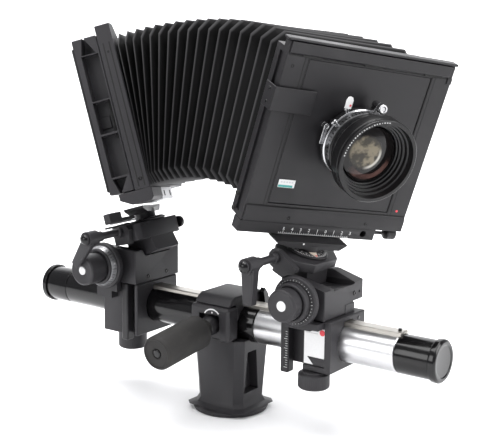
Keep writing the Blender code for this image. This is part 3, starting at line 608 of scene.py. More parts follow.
def clamp_marks():
    """The lock sign on the clamp's face: an arc with a dot inside."""
    low, _ = BASE.node_box("clamp_body")
    y, z = LOCK_SIGN_AT
    axes = ((0, -1, 0), (0, 0, 1), (-1, 0, 0))
    arc_band("lock_sign", (low[0], y, z), axes, (11.0, 12.4), (0.15, -0.3), (42.0, 148.0), 24, BASE, WHITE,
        "column")
    disc("lock_sign_dot", 1.0, 0.2, 0.3, BASE, (low[0], y, z + 8.2), (-1, 0, 0), WHITE, "column")


def grip():
    """Rubber sleeve with fine lengthwise ribs, on a flared neck; its end plate has a round recess."""
    hinge = JOINTS["grip_turn"]
    place = Place(hinge["pos_m"])
    out = hinge["axis"]
    turned("grip_sleeve", [(9.0, 13.0), (9.5, 13.4), (11.0, 20.5), (15.5, 23.0), (18.0, 26.5), (18.0, 91.1),
        (16.2, 93.7), (14.8, 93.9), (14.4, 92.7), (5.6, 92.7), (5.2, 91.1), (0, 91.1)], place, (0, 0, 0), out,
        RUBBER, "grip", ease=0.8, sides=288, ripple=ribs(72, 0.22, 28.0, 90.0, 1.5), slot="black_rubber",
        replaces=("clamp_grip",))
    turned("grip_bolt", [(0, 93.1), (3.0, 93.1), (4.4, 92.5), (4.4, 90.5), (0, 90.5)], place, (0, 0, 0), out,
        GLOSS, "grip", sides=48)
    turned("grip_neck", [(0, -0.3), (10.6, -0.3), (10.6, 7.0), (9.0, 12.6), (0, 12.6)], place, (0, 0, 0), out,
        SATIN, "column", ease=1.2, slot="black_anodised", replaces=("grip_collar",))


def rail():
    """Four tube sections in a row with fine joint lines, the flat strip, and a cap at each end."""
    sections = (("rail_front_end", GLOSS), ("rail_extension_tube", SILVER), ("rail_main_tube", GLOSS),
        ("rail_rear_end", GLOSS))
    for node, finish in sections:
        low, high = BASE.node_box(node)
        ring = [(16.5, low[1]), (RAIL_RADIUS - 0.8, low[1]), (RAIL_RADIUS, low[1] + 0.8),
            (RAIL_RADIUS, high[1] - 0.8), (RAIL_RADIUS - 0.8, high[1]), (16.5, high[1])]
        turned(node + "_skin", ring, BASE, (0, 0, RAIL_Z), (0, 1, 0), finish, "rail", ease=0.2, sides=160,
            slot=SLOT_OF[node], replaces=(node,))
    for node, way in (("rail_front_cap", -1), ("rail_rear_cap", 1)):
        low, high = BASE.node_box(node)
        length = high[1] - low[1]
        outer = low[1] if way < 0 else high[1]
        cap = [(0, -0.9), (15.5, -0.9), (16.6, -0.1), (19.8, 0.0), (21.9, -2.0), (21.9, -7.5), (16.1, -7.5),
            (16.1, -length), (0, -length)]
        turned(node + "_skin", cap, BASE, (0, outer, RAIL_Z), (0, way, 0), GLOSS, "rail", ease=0.7, sides=160,
            slot=SLOT_OF[node], replaces=(node,))
    fettled("rail_top_strip", STRIP, 0.5)
    low, high = BASE.node_box("rail_top_strip")
    for name, y in (("strip_front_stop", low[1] + 5.0), ("strip_rear_stop", high[1] - 5.0)):
        disc(name, 1.8, 2.6, 1.0, BASE, (0, y, high[2]), (0, 0, 1), GLOSS, "rail", ease=0.4)


# ---------------------------------------------------------------- standards


def knob_set(side):
    """Focus disc and sleeve, then the rise knob through them, along -x from the bearing plate."""
    joint = JOINTS[side + "_focus_turn"]
    place = Place(joint["pos_m"])
    out = (-1, 0, 0)
    body = side + "_focus"
    turned(side + "_focus_disc", [(5.0, 0.0), (24.6, 0.0), (25.6, 1.0), (25.6, 5.2), (24.2, 6.6), (20.6, 7.0),
        (20.0, 8.2), (20.0, 15.0), (19.0, 16.0), (17.0, 16.0), (17.0, 3.0), (5.0, 3.0)], place, (0, 0, 0),
        out, CRACKLE, body, ease=0.5, sides=360, ripple=ribs(90, 0.35, 1.0, 5.6), slot="black_casting",
        replaces=(side + "_focus_knob",))
    reach = -place.node_box(side + "_rise_knob")[0][0]
    turned(side + "_rise_grip", [(0, reach - 1.8), (4.6, reach - 1.8), (5.2, reach - 0.8),
        (12.4, reach - 0.5), (14.6, reach), (16.5, reach - 1.6), (16.5, 17.4), (15.9, 16.8), (15.9, 3.4),
        (4.6, 3.4), (4.6, 0.0), (0, 0.0)], place, (0, 0, 0), out, CRACKLE, side + "_rise", ease=0.5,
        sides=320, ripple=ribs(64, 0.25, 18.0, reach - 1.8), slot="black_casting",
        replaces=(side + "_rise_knob",))
    dot = 5.2 if side == "front" else 4.6
    turned(side + "_knob_dot", [(0, reach - 0.3), (dot - 0.2, reach - 0.3), (dot, reach - 0.6),
        (dot, reach - 2.0), (0, reach - 2.0)], place, (0, 0, 0), out, WHITE, side + "_rise", ease=0.1,
        sides=48)
    inner, outer = ((20.9, 8.8), (22.9, 7.6)) if side == "front" else ((20.6, 13.6), (22.6, 7.6))
    turned(side + "_focus_scale", [(20.05, inner[1] - 0.2), inner, outer, (outer[0], 7.0), (20.05, 7.0)],
        place, (0, 0, 0), out, SATIN if side == "front" else BAR_SILVER, body, ease=0.15, sides=160)
    cone_ticks(side + "_focus_ticks", inner, outer, place, GREY_MARK if side == "front" else GLOSS, body)


def cone_ticks(name, inner, outer, place, finish, body, count=40):
    """Graduations round -x on the slope from the inner to the outer (radius, distance), each fifth long."""
    out, across = spokes(np.arange(count) * TAU / count, (0, 1, 0), (0, 0, 1))
    ahead = np.array([-1.0, 0.0, 0.0])
    fall = np.array(outer) - inner
    half = np.where(np.arange(count) % 5 == 0, 0.42, 0.24)[:, None]
    middle = out * (inner[0] + outer[0]) / 2 + ahead * (inner[1] + outer[1]) / 2
    square = (ahead * fall[0] - out * fall[1]) / np.hypot(*fall)
    return blocks(name, middle, (out * fall[0] + ahead * fall[1]) * half, across * 0.18, square * 0.1, place,
        finish, body)


def lock_knobs():
    for side in ("front", "rear"):
        joint = JOINTS[side + "_lock_turn"]
        place = Place(joint["pos_m"])
        low, high = place.node_box(side + "_lock_knob")
        r, foot = high[0], low[2]
        turned(side + "_lock_grip", [(0, 0), (r - 4.0, 0), (r - 3.8, -1.8), (r - 0.4, -2.6), (r, -3.6),
            (r, foot + 1.7), (r - 1.7, foot), (6.0, foot), (5.4, foot + 1.1), (0, foot + 1.1)], place,
            (0, 0, 0), (0, 0, 1), CRACKLE, side + "_lock", ease=0.6, sides=240,
            ripple=ribs(48, 0.3, foot + 1.9, -3.8), slot="black_casting", replaces=(side + "_lock_knob",))


def carrier_details(side):
    """The carrier's screws, the printed label in the front window and the scale rod's marks."""
    here = STANDARD[side]
    body = side + "_carriage"
    fettled(side + "_carrier", CRACKLE, 0.7)
    fettled(side + "_scale_rod", SATIN, 0.8, 3)
    low, _ = here.node_box(side + "_scale_rod")
    box_low, box_high = here.node_box(side + "_carrier")
    face, way = (box_low[1], -1.0) if side == "front" else (box_high[1], 1.0)
    if side == "front":
        heights = np.arange(low[2] + 6.0, low[2] + 46.0, 2.5)
        longs = np.where(np.arange(len(heights)) % 4 == 0, 4.2, 2.4)
        centres = np.stack([np.full(len(heights), low[0] - 0.05), low[1] + 0.8 + longs / 2, heights], -1)
        sizes = np.stack([np.full(len(heights), 0.2), longs, np.full(len(heights), 0.45)], -1)
        ticks("rod_ticks", centres, sizes, here, GREY_MARK, side + "_lift")
        label = [(-0.3, 118.4), (-24.9, 118.4), (-24.9, 88.0), (-4.0, 88.0), (-11.5, 80.2), (-0.3, 80.2)]
        prism("window_label", label, (-33.3, -32.6), "yz", here, WHITE, body, bevel=0.1)
        wedge = [(-25.0, 87.4), (-4.9, 87.4), (-11.9, 80.0), (-25.0, 80.0)]
        prism("window_wedge", wedge, (-34.0, -32.6), "yz", here, CRACKLE, body, bevel=0.5)
        disc("label_dot", 3.1, 0.3, 0.4, here, (-33.3, -21.6, 114.6), (-1, 0, 0), RED, body, sides=48)
        ticks("label_lines", [(-33.4, -9.6, 115.4), (-33.4, -9.4, 112.9)],
            [(0.2, 15.0, 1.0), (0.2, 14.0, 0.5)], here, GREY_MARK, body)
    for z in (box_low[2] + 8, 121.0):
        disc(f"{side}_plate_screw_{z:.0f}", 2.2, 0.4, 0.8, here, (20.0, face, z), (0, way, 0), GLOSS, body,
            ease=0.4)


def tilt_bed_details(side):
    fettled(side + "_tilt_bed", CRACKLE, 0.8, 3)
    here = STANDARD[side]
    low, high = here.node_box(side + "_tilt_bed")
    outer, inward, way = (low[1], high[1], -1.0) if side == "front" else (high[1], low[1], 1.0)
    body = side + "_lift"
    screw_head(side + "_bed_screw", here, (20.0, outer, 146.0), (0, way, 0), 2.6, GLOSS, body)
    bar(side + "_bed_plate", (2.0, 20.0), (outer + way * 0.5, outer - way * 1.0), (121.5, 137.0), here,
        CRACKLE, body)
    for x in (-16.0, 16.0):
        screw_head(f"{side}_bed_inner_screw_{x:.0f}", here, (x, inward, 134.0), (0, -way, 0), 2.4, GLOSS,
            body)


def cradle_details(side):
    """Deck with its dial, graduations and figures; the shaft and the hanging lever."""
    tilt = TILT[side]
    fettled(side + "_cradle", CRACKLE, 0.7)
    low, high = tilt.node_box(side + "_swing_dial")
    body = side + "_tilt"
    turned(side + "_dial_ring", [(7.3, low[2]), (21.4, low[2]), (22.0, low[2] + 0.8), (22.0, high[2] - 0.8),
        (20.6, high[2]), (14.0, high[2]), (7.3, high[2])], tilt, (0, 0, 0), (0, 0, 1), SATIN, body, ease=0.3,
        sides=144, slot="black_anodised", replaces=(side + "_swing_dial",))
    angle = np.deg2rad(np.arange(-150, 151, 5.0) - 90.0)
    length = np.where(np.arange(len(angle)) % 2 == 0, 3.2, 1.8)
    flat_ticks(side + "_dial_ticks", angle, 20.2, length, high[2] + 0.05, tilt, WHITE, body)
    figures = [(str(abs(step)), (14.8 * math.cos(a), 14.8 * math.sin(a), high[2] + 0.05))
        for step in range(-6, 7) for a in [math.radians(step * 20.0 - 90.0)]]
    numerals(side + "_dial_figures", figures, tilt, (1, 0, 0), (0, 1, 0), WHITE, body, size=3.4)
    pin = Place(JOINTS[side + "_lever_turn"]["pos_m"])
    lever_body = side + "_lever"
    shaft_low, _ = pin.node_box(side + "_lever_shaft")
    turned(side + "_shaft", [(0, 0), (6.0, 0), (6.0, 4.2), (4.2, 5.0), (4.2, -shaft_low[0]),
        (0, -shaft_low[0])], pin, (0, 0, 0), (-1, 0, 0), CRACKLE, lever_body, ease=0.4, sides=64,
        slot="black_anodised", replaces=(side + "_lever_shaft",))
    fettled(side + "_clamp_lever", CRACKLE, 1.3, 3)
    lever_low, _ = pin.node_box(side + "_clamp_lever")
    turned(side + "_lever_ball", [(0, 4.4), (2.4, 4.0), (4.6, 2.6), (5.8, 0.8), (6.2, -0.4), (6.2, -1.6),
        (0, -1.6)], pin, (lever_low[0] + 1.4, 0, 0), (-1, 0, 0), GLOSS, lever_body, ease=0.9, sides=64)
    if side == "rear":
        thumb_lever(tilt, body)


def thumb_lever(tilt, body):
    """On the rear cradle: a thumb piece on a silver strip, two pin holes drawn as dark discs of painted shade, and
    a stop knob.
    """
    low, high = tilt.node_box("rear_cradle")
    bar("thumb_pad", (-70.5, -51.0), (-13.0, -3.5), (-56.0, -44.5), tilt, CRACKLE, body, bevel=0.9)
    bar("thumb_strip", (-64.0, -28.0), (-12.0, -4.5), (-57.0, -55.6), tilt, BAR_SILVER, body, bevel=0.2)
    blade = [(-79.0, -10.0), (-74.0, -13.5), (-41.0, -13.5), (-41.0, -4.5), (-72.0, -4.5)]
    prism("thumb_blade", blade, (-60.8, -58.9), "xy", tilt, SATIN, body, bevel=0.3)
    bar("thumb_arm", (-52.0, -30.0), (-12.0, -4.5), (-55.3, -51.5), tilt, SATIN, body, bevel=0.5)
    # painted shadow: dark discs stand in for the shade inside the two pin holes
    for x in (-31.8, -24.7):
        disc(f"cradle_hole_shadow_{-x:.0f}", 0.9, 0.12, 0.5, tilt, (x, low[1], -64.3), (0, -1, 0), SHADOW, body,
            sides=24)
    turned("stop_knob", [(0, 5.0), (5.6, 5.0), (6.6, 4.0), (6.6, 0), (0, 0)], tilt, (high[0], -14.0, -69.6),
        (1, 0, 0), SATIN, body, ease=0.5, sides=64)
    turned("stop_knob_tip", [(0, 4.2), (1.5, 4.0), (1.8, 0), (0, 0)], tilt, (high[0] + 5.0, -14.0, -69.6),
        (1, 0, 0), STEEL, body, ease=0.2, sides=32)


def flat_ticks(name, angle, radius, lengths, height, place, finish, body):
    """Bars that point at the z axis on a flat dial, lying at one height."""
    out, across = spokes(angle, (1, 0, 0), (0, 1, 0))
    half = lengths[:, None] / 2
    return blocks(name, out * (radius - half) + np.array([0, 0, height]), out * half, across * 0.2,
        (0, 0, 0.08), place, finish, body)


def swing_details(side):
    """The swing post, its buff pointer with a red tip over the dial, and the front's index dot."""
    fettled(side + "_swing_post", SATIN, 0.5)
    swing = SWING[side]
    body = side + "_swing"
    top = TILT[side].node_box(side + "_swing_dial")[1][2] + 0.35
    pointer = [(-4.2, -11.0), (4.2, -11.0), (2.4, -17.0), (0.5, -21.2), (-0.5, -21.2), (-2.4, -17.0)]
    prism(side + "_pointer", pointer, (top, top + 0.7), "xy", swing, BUFF, body, bevel=0.15)
    tip = [(-1.5, -18.2), (1.5, -18.2), (0.5, -20.9), (-0.5, -20.9)]
    prism(side + "_pointer_tip", tip, (top + 0.65, top + 0.85), "xy", swing, RED, body, bevel=0.0)
    if side == "front":
        post_top = swing.node_box(side + "_swing_post")[1][2]
        disc("index_dot", 0.9, 0.25, 0.4, swing, (-13.4, -11.2, post_top - 1.7), (0, -1, 0), WHITE, body)


# ---------------------------------------------------------------- lens side


def lens_frame():
    """Eased frame and board, grooves beside the board drawn as dark bars of painted shade, the bright lip, the
    scale and small fittings.
    """
    body = "lens_frame"
    fettled("lens_frame", SATIN, 0.8, 3)
    fettled("lens_board", SATIN, 0.5)
    fettled("frame_top_lip", SATIN, 0.7, 3)
    fettled("lens_shift_plate", SATIN, 0.6)
    fettled("finder_bracket", SATIN, 0.5)
    low, _ = LENS.node_box("lens_frame")
    board_low, _ = LENS.node_box("lens_board")
    face = low[1]
    # painted shadow: thin dark bars stand in for the shade in the grooves beside the board
    for x in (-76.4, -72.8, 72.8, 76.4):
        bar(f"board_gap_shadow_{x:.0f}", (x - 0.45, x + 0.45), (face - 0.12, face + 0.4), (-77.6, 76.8), LENS,
            SHADOW, body, bevel=0.0)
    head = [(face + 0.4, 76.6), (face - 2.0, 79.0), (face - 2.4, 89.6), (face + 0.4, 89.6)]
    prism("frame_head_bar", head, (-95.5, 91.0), "yz", LENS, SATIN, body, bevel=0.5)
    sill = [(face + 0.4, -77.6), (face - 1.2, -78.2), (face - 2.6, -83.2), (face - 2.6, -94.4),
        (face + 0.4, -94.4)]
    prism("frame_sill_bar", sill, (-95.5, 95.5), "yz", LENS, SATIN, body, bevel=0.5)
    # painted shadow: dark bars for the shade in the gaps under the head and over the sill, and in the slots under
    # the head
    gaps = [(name, (-95.0, 95.0), (face - 0.2, face + 0.3), (z - 0.5, z + 0.5)) for name,
        z in (("head_gap", 76.3), ("sill_gap", -77.5))]
    gaps += [(f"head_slot_{x:.0f}", (x - 10.5, x + 10.5), (face - 1.3, face + 0.2), (76.4, 78.2))
        for x in (-70.0, 0.0, 72.0)]
    for gap in gaps:
        bar(*gap, LENS, SHADOW, body, bevel=0.0)
    bar("head_latch", (90.6, 96.4), (face - 1.2, face + 0.3), (71.0, 77.5), LENS, SATIN, body, bevel=0.5)
    for number, x in enumerate((-45.0, 48.0)):
        screw_head(f"frame_screw_{number}", LENS, (x, face - 2.6, -88.5), (0, -1, 0), 1.9, GLOSS, body)
    screw_head("frame_screw_high", LENS, (-88.0, face, 66.0), (0, -1, 0), 1.7, GLOSS, body)
    for number, z in enumerate((-74.0, -90.0)):
        turned(f"frame_foot_bump_{number}", [(0, 2.6), (1.4, 2.4), (2.6, 1.2), (2.8, -0.5), (0, -0.5)], LENS,
            (low[0] - 0.1, 18.0, z), (-1, 0, 0), RUBBER, body, sides=40)
    for z in (26.5, 39.5):
        screw_head(f"bracket_screw_{z:.0f}", LENS, (-101.4, 6.0, z), (-1, 0, 0), 2.0, GLOSS, body)
    disc("frame_red_dot", 1.3, 0.3, 0.3, LENS, (83.0, face - 0.05, -72.0), (0, -1, 0), RED, body)
    board = board_low[1]
    bar("board_label", (-66.4, -47.6), (board - 0.3, board + 0.1), (-57.2, -48.8), LENS, WHITE, body,
        bevel=0.1)
    dashes = [(x, board - 0.35, -51.3) for x in (-63.2, -60.2, -57.0, -53.9, -51.0)]
    ticks("label_dashes", dashes, (1.9, 0.12, 1.6), LENS, PALE_PRINT, body)
    ticks("label_band", [(-57.9, board - 0.35, -55.6)], (16.4, 0.12, 2.3), LENS, TEAL, body)
    scale_plate()


def scale_plate():
    """Shift scale: a fine line, a tick each 2.5 mm and a figure each 10 mm; and the shift knob behind it."""
    low, high = LENS.node_box("lens_shift_plate")
    face = low[1]
    step = np.arange(-50.0, 33.6, 2.5)
    length = np.where(np.isclose(step % 10.0, 5.0), 2.6, 1.5)
    centres = np.stack([step, np.full(len(step), face - 0.05), low[2] + 1.4 + length / 2], -1)
    sizes = np.stack([np.full(len(step), 0.4), np.full(len(step), 0.2), length], -1)
    ticks("scale_ticks", centres, sizes, LENS, WHITE, "lens_frame")
    ticks("scale_line", [(-8.2, face - 0.05, low[2] + 1.5)], [(83.5, 0.2, 0.35)], LENS, WHITE, "lens_frame")
    figures = [(str(abs(i)), (5.0 + 10.0 * i, face - 0.05, high[2] - 6.6)) for i in range(-5, 4)]
    numerals("scale_figures", figures, LENS, (1, 0, 0), (0, 0, 1), WHITE, "lens_frame", size=5.0)
    joint = JOINTS["shift_knob_turn"]
    place = Place(joint["pos_m"])
    turned("shift_knob_grip", [(0, 0), (1.9, 0), (1.9, 15.6), (5.2, 16.2), (6.4, 17.6), (6.4, 27.2),
        (5.4, 28.5), (0, 28.5)], place, (0, 0, 0), joint["axis"], SATIN, "shift_knob", ease=0.4, sides=192,
        ripple=ribs(32, 0.35, 17.8, 27.0), slot="black_anodised", replaces=("lens_shift_knob",))


def lens():
    """Shutter, its rings, knobs and tabs, the two barrels and the glass; distances run out of the board."""
    body = "lens_frame"
    out = -LENS.axes[1] @ LENS.axes.T
    turned("shutter_case", [(18.8, -9.0), (20.6, -9.0), (20.6, 0.3), (33.5, 0.3), (33.5, 1.6), (35.5, 3.6),
        (35.5, 12.6), (34.9, 13.0), (34.9, 14.0), (35.5, 14.4), (35.5, 22.8), (34.2, 24.0), (24.0, 24.0),
        (24.0, 14.0), (18.8, 14.0)], LENS, (0, 0, 0), out, BARREL, body, ease=0.3, sides=160,
        slot="black_anodised", replaces=("shutter_housing",))
    turned("shutter_rim", [(35.3, 5.4), (36.5, 6.0), (36.7, 11.6), (35.3, 12.6)], LENS, (0, 0, 0), out, STEEL,
        body, ease=0.15, sides=160)
    eased(arc_band("scale_arc", (0, 0, 0), ((1, 0, 0), (0, 0, 1), (0, -1, 0)), (35.4, 36.4), (14.6, 22.4),
        (96.0, 205.0), 48, LENS, BAR_SILVER, body), 0.2)
    turned("barrel_front", [(38.4, 57.0), (41.7, 57.0), (42.5, 56.2), (42.5, 52.6), (42.1, 52.2),
        (42.1, 51.4), (42.5, 51.0), (42.5, 40.2), (39.5, 35.0), (34.0, 31.4), (23.6, 31.0), (23.6, 14.4),
        (20.0, 14.4), (20.0, 33.0), (29.0, 36.5), (30.0, 39.0), (31.2, 39.2), (31.4, 42.0), (33.2, 42.3),
        (33.4, 45.4), (35.4, 45.8), (35.8, 49.6), (37.6, 50.0), (38.0, 53.0)], LENS, (0, 0, 0), out, BARREL,
        body, ease=0.25, sides=192, slot="black_gloss", replaces=("front_lens_barrel",))
    turned("barrel_rear", [(18.4, 3.0), (18.4, -9.3), (24.5, -11.5), (24.5, -33.0), (23.5, -34.0),
        (22.0, -34.0), (20.0, -20.0), (15.0, -12.0), (15.0, 3.0)], LENS, (0, 0, 0), out, BARREL, body,
        ease=0.3, sides=128, slot="black_gloss", replaces=("rear_lens_barrel",))
    glass_dome("front_glass", 28.0, 38.2, 4.8, 6.5, out, ("front_lens_glass",))
    glass_dome("rear_glass", 20.3, -27.4, -4.0, 3.0, out, ("rear_lens_glass",))
    blades("iris_leaves", 11, out)
    speed = "speed_ring"
    turned("speed_ring_grip", [(24.3, 24.6), (34.5, 24.6), (34.5, 28.6), (32.6, 30.3), (24.3, 30.3)], LENS,
        (0, 0, 0), out, BARREL, speed, ease=0.3, sides=360, ripple=ribs(60, 0.4, 24.8, 28.4),
        slot="black_anodised", replaces=("shutter_speed_ring",))
    ring_print("speed_marks", 31.3, 30.45, np.linspace(84.0, 158.0, 10), 2.6, 1.5, speed, WHITE)
    ring_print("rim_marks", 40.1, 57.06, np.linspace(92.0, 176.0, 22), 1.1, 1.3, body, GREY_MARK)
    scale_steps("arc_steps", 36.45, 19.6, np.linspace(104.0, 198.0, 17), body, GLOSS)
    knurled_nut("flash_knob", (8.7, 43.0), 10.0, 26.0, 5.0)
    bar("knob_arm", (5.2, 12.2), (-17.5, -9.5), (33.0, 43.0), LENS, STEEL, body, bevel=0.8)
    knurled_nut("release_socket", (-40.0, 15.0), 4.5, 14.0, 3.0)
    tabs()


def ring_print(name, radius, distance, bearings, length, width, body, finish):
    """Marks round a turned face, square to the lens axis: blocks at the bearings, every fourth one short."""
    out, across = spokes(np.deg2rad(bearings), (1, 0, 0), (0, 0, 1))
    pattern = np.where(np.arange(len(bearings)) % 4 == 3, 0.45, 1.0)[:, None]
    return blocks(name, out * radius - np.array([0, distance, 0]), out * (length / 2),
        pattern * width / 2 * across, (0, 0.08, 0), LENS, finish, body)


def scale_steps(name, radius, distance, bearings, body, finish):
    """Dark graduations standing on the silver arc: blocks whose face points away from the lens axis."""
    out, across = spokes(np.deg2rad(bearings), (1, 0, 0), (0, 0, 1))
    high = np.where(np.arange(len(bearings)) % 2 == 0, 1.9, 1.1)[:, None] * np.array([[0, 1.0, 0]])
    return blocks(name, out * radius - np.array([0, distance, 0]), out * 0.08, across * 0.4, high, LENS,
        finish, body)




def knurled_nut(name, at, low, high, radius):
    """A small ribbed steel button standing out along the lens axis."""
    x, z = at
    profile = [(0, high - 0.6), (radius * 0.5, high - 0.6), (radius * 0.6, high), (radius * 0.9, high),
        (radius, high - 0.7), (radius, high - 5.5), (radius * 0.8, high - 6.2), (radius * 0.8, low), (0, low)]
    return turned(name, profile, LENS, (x, 0, z), (0, -1, 0), STEEL, "lens_frame", ease=0.25, sides=120,
        ripple=ribs(20, 0.35, high - 5.4, high - 0.8, 0.3))


def tabs():
    """Levers and tabs round the shutter."""
    body = "lens_frame"
    for name, node in (("aperture", "aperture_lever"), ("cocking", "cocking_lever")):
        low, high = LENS.node_box(node)
        middle = (low + high) / 2
        bearing = math.atan2(middle[2], middle[0])
        out = np.array([math.cos(bearing), 0, math.sin(bearing)])
        start = out * 35.9 + np.array([0, middle[1], 0])
        turned(name + "_tab", [(0, 0), (2.0, 0), (2.2, 1.0), (2.2, 3.6), (3.0, 4.2), (3.0, 7.2), (2.4, 7.9),
            (0, 7.9)], LENS, start, out, STEEL, name, ease=0.3, sides=64, ripple=ribs(14, 0.3, 4.3, 7.1, 0.3),
            slot="bright_steel", replaces=(node,))
    tab = [(-27.6, 36.0), (-20.4, 36.0), (-20.2, 45.0), (-21.6, 47.6), (-24.2, 48.6), (-26.8, 47.6),
        (-28.0, 45.0)]
    prism("sync_tab", tab, (-15.6, -14.2), "xz", LENS, WHITE, body, bevel=0.5, segments=3)
    disc("sync_dot", 1.1, 0.2, 0.3, LENS, (-22.4, -15.7, 39.6), (0, -1, 0), RED, body)
    bar("press_focus_arm", (-42.4, -37.6), (-13.0, -11.4), (-3.5, 13.5), LENS, STEEL, body, bevel=0.5)


def step(low, high, values):
    """0 below low, 1 above high, and 3s^2 - 2s^3 between."""
    share = np.clip((values - low) / (high - low), 0, 1)
    return share * share * (3 - 2 * share)


def glass_dome(name, radius, edge, rise, back, out, nodes):
    """A lens element: edge + rise*(1 - (r/R)^2) in front, edge - back*(1 - r/R) behind, and where its three
    painted reflections lie (a buff pool, a highlight crescent and a rose crescent) kept as attributes."""
    share = np.linspace(0, 1, 40)
    front = np.stack([radius * share, edge + rise * (1 - share ** 2)], -1)
    rear = np.stack([radius * share[::-1], edge - 0.8 - back * (1 - share[::-1])], -1)
    piece = turned(name, np.concatenate([front, rear]).tolist(), LENS, (0, 0, 0), out, GLASS, "lens_frame",
        ease=0, sides=96, slot="coated_glass", replaces=nodes)
    points = LENS.local(np.array([v.co for v in piece.data.vertices], float))[:, [0, 2]] / radius
    middle = np.hypot(points[:, 0], points[:, 1])
    inner = np.hypot(points[:, 0] + 0.24, points[:, 1] - 0.10)
    bearing = np.arctan2(points[:, 1], points[:, 0])
    lower = step(0.25, 0.75, np.cos(bearing + 1.25))
    right = step(0.55, 0.95, np.cos(np.arctan2(points[:, 1] - 0.10, points[:, 0] + 0.24) + 0.55))
    # painted reflection and painted highlight: where the buff pool, the bright crescent and the rose crescent are
    # painted on the glass
    painted_reflections = {
        "buff": 1.0 - step(0.52, 0.64, inner),
        "painted_highlight": step(0.50, 0.56, inner) * (1.0 - step(0.58, 0.66, inner)) * right,
        "painted_rose_reflection": step(0.66, 0.74, middle) * (1.0 - step(0.88, 0.94, middle)) * lower,
    }
    for label, values in painted_reflections.items():
        layer = piece.data.attributes.new(label, "FLOAT", "POINT")
        layer.data.foreach_set("value", values.astype(np.float32))


def blades(name, count, out):
    """Iris: one flat ring whose inner edge waves in and out once a leaf: radius + 0.35*cos(count*angle)."""

    def fan(radius, distance, angle):
        return radius + 0.35 * np.cos(count * angle) * (radius < 9.0)

    return turned(name, [(7.0, 10.4), (18.4, 10.4), (18.4, 9.8), (7.0, 9.8)], LENS, (0, 0, 0), out, BARREL,
        "lens_frame", ease=0, sides=176, ripple=fan, slot="black_anodised", replaces=("iris_blades",))


# ---------------------------------------------------------------- film side


def shift_bar():
    """The shift bar: a milled silver plate with two slots (dark bars of painted shade) and a sloped shoe, in a
    black end block.
    """
    body = "film_frame"
    low, _ = FILM.node_box("film_shift_bar")
    foot = low[2]
    bar("shift_bar_plate", (-37.0, 17.0), (0.0, 17.0), (foot, -81.3), FILM, BAR_SILVER, body, bevel=0.5,
        slot="satin_aluminium", replaces=("film_shift_bar",))
    # painted shadow: dark bars stand in for the shade inside the two slots
    for x in (-22.0, 5.0):
        bar(f"bar_slot_shadow_{x:.0f}", (x - 2.2, x + 2.2), (-0.12, 0.3), (-91.4, -85.4), FILM, SHADOW, body,
            bevel=0.0)
    shoe = [(14.0, -93.0), (14.0, -84.0), (23.0, -84.0), (23.0, foot), (19.0, foot)]
    prism("shift_bar_shoe", shoe, (-34.0, 16.6), "yz", FILM, BAR_SILVER, body, bevel=0.5)
    block = [(-0.8, -81.0), (36.0, -81.0), (36.0, -88.0), (24.0, foot), (2.0, foot), (-0.8, foot + 3.0)]
    prism("shift_bar_block", block, (low[0], -36.0), "yz", FILM, CRACKLE, body, bevel=0.8)


